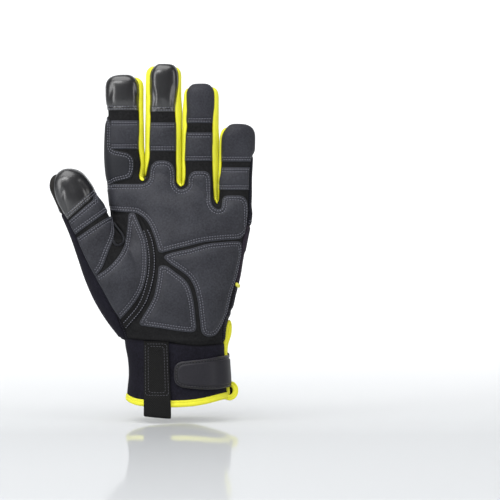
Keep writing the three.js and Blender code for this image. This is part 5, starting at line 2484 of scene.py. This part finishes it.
@dataclass(frozen=True)
class PullTab:
    """The webbing loop sewn to the cuff's palm side."""

    glove: "Glove"
    left: float = -24.1
    right: float = -6.4
    spread: float = 1.6
    top: float = 45.2
    bottom: float = -8.6
    slant: float = 0.075
    inside_top: float = 12.0
    lift: float = 1.1
    over_hem: float = 2.6
    thickness: float = 1.3
    inner: float = 3.4
    hem_height: float = 5.0
    box_foot: float = 5.6
    face_rows: int = 26
    fold_depth: float = 1.8
    thread: Thread = Thread(length=1.5, pitch=2.1, radius=0.26)

    def stations(self) -> Array:
        """The tab's run from its top, round its fold, to its end inside.

        Returns:
            Rows of the distance in front of the cuff and the height.
        """
        fold = self.bottom + self.fold_depth
        rows = [(self.lift, z) for z in np.linspace(self.top, 10, 22)]
        for z in np.linspace(8.5, fold, 11):
            rise = float(ease(np.array([-z]), -9.0, -3.5)[0])
            rows.append((self.lift + (self.over_hem - self.lift) * rise, z))
        middle = (self.over_hem - self.inner) / 2
        half = (self.over_hem + self.inner) / 2
        for angle in np.linspace(0, math.pi, 9)[1:-1]:
            rows.append((middle + half * math.cos(angle), fold - self.fold_depth * math.sin(angle)))
        for z in np.linspace(fold, self.inside_top, 10):
            rows.append((-self.inner, z))
        return np.array(rows)

    def build(self) -> None:
        """Makes the loop and its stitches."""
        rows = self.stations()
        columns = np.linspace(self.left, self.right, 15)
        middle = (self.left + self.right) / 2
        column, offset = np.meshgrid(columns, rows[:, 0])
        _, z = np.meshgrid(columns, rows[:, 1])
        low = ease(8 - z, 0, 14) * self.slant
        z = z - (column - middle) * low
        share = self.spread * (column - self.left) / (self.right - self.left)
        x = column + share * ease(self.top - z, 0, 50)
        held = np.maximum(z, self.hem_height)
        y = self.glove.form.front_y(x.ravel(), held.ravel()).reshape(x.shape)
        points = np.stack([x, y - offset, z], -1)
        n, m = x.shape
        along, across = np.gradient(points, axis=0), np.gradient(points, axis=1)
        normals = unit(np.cross(across.reshape(-1, 3), along.reshape(-1, 3)))
        if normals[m // 2, 1] > 0:
            normals = -normals
        i, j = (a.ravel() for a in np.meshgrid(np.arange(n - 1), np.arange(m - 1), indexing="ij"))
        a, b, c, d = i * m + j, i * m + j + 1, (i + 1) * m + j + 1, (i + 1) * m + j
        faces = np.concatenate([np.stack([a, d, c], 1), np.stack([a, c, b], 1)])
        flat = points.reshape(-1, 3)
        skin = Skin(flat, normals, faces, np.zeros(len(flat)), np.zeros(len(flat), bool))
        edge = np.minimum(column - self.left, self.right - column).ravel()
        skin.shift = -0.25 * bell(edge, 0.5) + self.thickness / 2
        solid = outward(shell(skin, edge, self.thickness))
        self.glove.shop.make("tab_loop", solid, WEBBING, ["pull_tab"])
        self.stitches(skin, column.ravel(), np.arange(n).repeat(m))

    def stitches(self, skin: Skin, x: Array, row: Array) -> None:
        """Makes the box of stitches on the tab's face.

        Args:
            skin: the tab's outer surface.
            x: each vertex's place across the tab.
            row: each vertex's row along the tab.
        """
        z = skin.points[:, 2]
        face = row < self.face_rows
        sideways = np.minimum(x - self.left, self.right - x)
        box = np.minimum(sideways, np.minimum(self.top - z, z - self.box_foot))
        rows = [s for inset in (1.2, 3.2) for s in self.thread.rows(skin.trace(box - inset, face))]
        self.glove.shop.make("tab_stitches", Solid.joined(rows), DARK_THREAD)


# Studio


class Studio:
    """The pale sweep, soft lights and camera."""

    FLOOR = -0.0132

    def build(self) -> None:
        """Sets up everything around the glove."""
        bpy.context.scene.view_settings.view_transform = "Standard"
        self.camera()
        self.sweep()
        self.lights()

    def camera(self) -> None:
        """Puts the camera where the photographer's stood."""
        data = bpy.data.cameras.new("camera")
        data.sensor_width, data.lens = 36.0, 128.2
        camera = bpy.data.objects.new("camera", data)
        camera.location = Vector(EYE) * MM
        camera.rotation_euler = (math.pi / 2, 0, 0)
        bpy.context.collection.objects.link(camera)
        bpy.context.scene.camera = camera

    def sweep(self) -> None:
        """Makes the floor that curves up into the backdrop."""
        bpy.ops.object.select_all(action="DESELECT")
        bpy.ops.mesh.primitive_plane_add(size=8, location=(0, 0, 0))
        sweep = bpy.context.active_object
        sweep.name = "studio_sweep"
        bpy.ops.object.mode_set(mode="EDIT")
        bpy.ops.transform.translate(value=(0, -2.1, self.FLOOR))
        pick(sweep, lambda place: place.y > 1)
        bpy.ops.mesh.extrude_region_move(TRANSFORM_OT_translate={"value": (0, 0, 4)})
        pick(sweep, lambda place: place.y > 1 and place.z < 1)
        bpy.ops.mesh.bevel(offset=0.8, segments=16, affect="EDGES")
        bpy.ops.object.mode_set(mode="OBJECT")
        bpy.ops.object.shade_smooth_by_angle(angle=SHARP)
        sweep.data.materials.append(self.paper())

    @staticmethod
    def paper() -> Material:
        """The sweep's pale paper, which mirrors a little in front and glows behind, and which glows for the
        camera alone far in front and to the sides.

        Returns:
            The material.
        """
        material = bpy.data.materials.new("studio_paper")
        material.use_nodes = True
        shader = material.node_tree.nodes["Principled BSDF"]
        shader.inputs["Base Color"].default_value = (0.6, 0.615, 0.63, 1)
        shader.inputs["Specular IOR Level"].default_value = 0.0
        shader.inputs["Coat Roughness"].default_value = 0.07
        t = Tree(material.node_tree)
        x, y, _ = t.add("SeparateXYZ", {0: t.add("TexCoord").outputs["Object"]}).outputs
        ahead = t.add("MapRange", {"Value": y, "From Min": -0.1, "From Max": 0.9}).outputs[0]
        gap = t.math("MAXIMUM", t.math("ABSOLUTE", x), t.math("MULTIPLY", y, -1.0))
        around = t.add("MapRange", {"Value": gap, "From Min": 0.41, "From Max": 0.7, "To Max": 1.25})
        mirror = t.add("MapRange", {"Value": y, "From Min": -0.75, "From Max": -0.02, "To Max": 0.75})
        t.tree.links.new(mirror.outputs[0], shader.inputs["Coat Weight"])
        ray = t.add("LightPath").outputs
        ahead = t.math("MULTIPLY", ahead, t.math("MULTIPLY_ADD", ray["Is Glossy Ray"], -0.5, 1.0))
        # Far in front and to the sides the paper glows for camera rays alone: painted brightness that lights
        # nothing.
        around = t.math("MULTIPLY", around.outputs[0], ray["Is Camera Ray"])
        t.tree.links.new(t.math("MAXIMUM", ahead, around), shader.inputs["Emission Color"])
        shader.inputs["Emission Strength"].default_value = 0.75
        return material

    def lights(self) -> None:
        """Adds the soft boxes and the white surroundings."""
        boxes = (
            ("top_box", (-0.3, -0.5, 1.5), (1.6, 1.2), 17.0),
            ("left_box", (-1.05, -0.8, 0.45), (0.4, 1.0), 5.0),
            ("right_box", (1.05, -0.6, 0.4), (0.4, 1.0), 2.6),
            ("front_fill", (-0.2, -2.2, 0.9), (1.5, 1.0), 21.0),
            ("gloss_card", (-0.6, -1.25, 1.0), (0.8, 0.4), 6.5),
        )
        for name, place, size, power in boxes:
            data = bpy.data.lights.new(name, "AREA")
            data.shape, data.size, data.size_y, data.energy = "RECTANGLE", size[0], size[1], power
            light = bpy.data.objects.new(name, data)
            light.visible_glossy = name != "front_fill"
            light.visible_diffuse = name != "gloss_card"
            light.location = place
            way = Vector((0, 0, 0.12)) - Vector(place)
            light.rotation_euler = way.to_track_quat("-Z", "Y").to_euler()
            bpy.context.collection.objects.link(light)
        world = bpy.data.worlds.new("studio_white")
        world.use_nodes = True
        background = world.node_tree.nodes["Background"]
        background.inputs[0].default_value = (1, 1, 1, 1)
        t = Tree(world.node_tree)
        ray = t.add("LightPath").outputs
        base = t.math("MULTIPLY_ADD", ray["Is Glossy Ray"], -0.2, 0.35)
        t.tree.links.new(t.math("MULTIPLY_ADD", ray["Is Camera Ray"], 0.65, base), background.inputs[1])
        bpy.context.scene.world = world


def main(frame: dict[str, object]) -> None:
    """Builds the scene around the frame.
    """
    logging.basicConfig(level=logging.INFO, format="%(name)s: %(message)s")
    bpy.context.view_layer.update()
    Studio().build()
    shop = Workshop()
    glove = Glove(shop)
    glove.build()
    Patchwork(glove).build()
    Trims(glove).build()
    Closure(glove).build()
    PullTab(glove).build()
    log.info("%d triangles in all", shop.triangles)


if __name__ == "__main__":
    main(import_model())
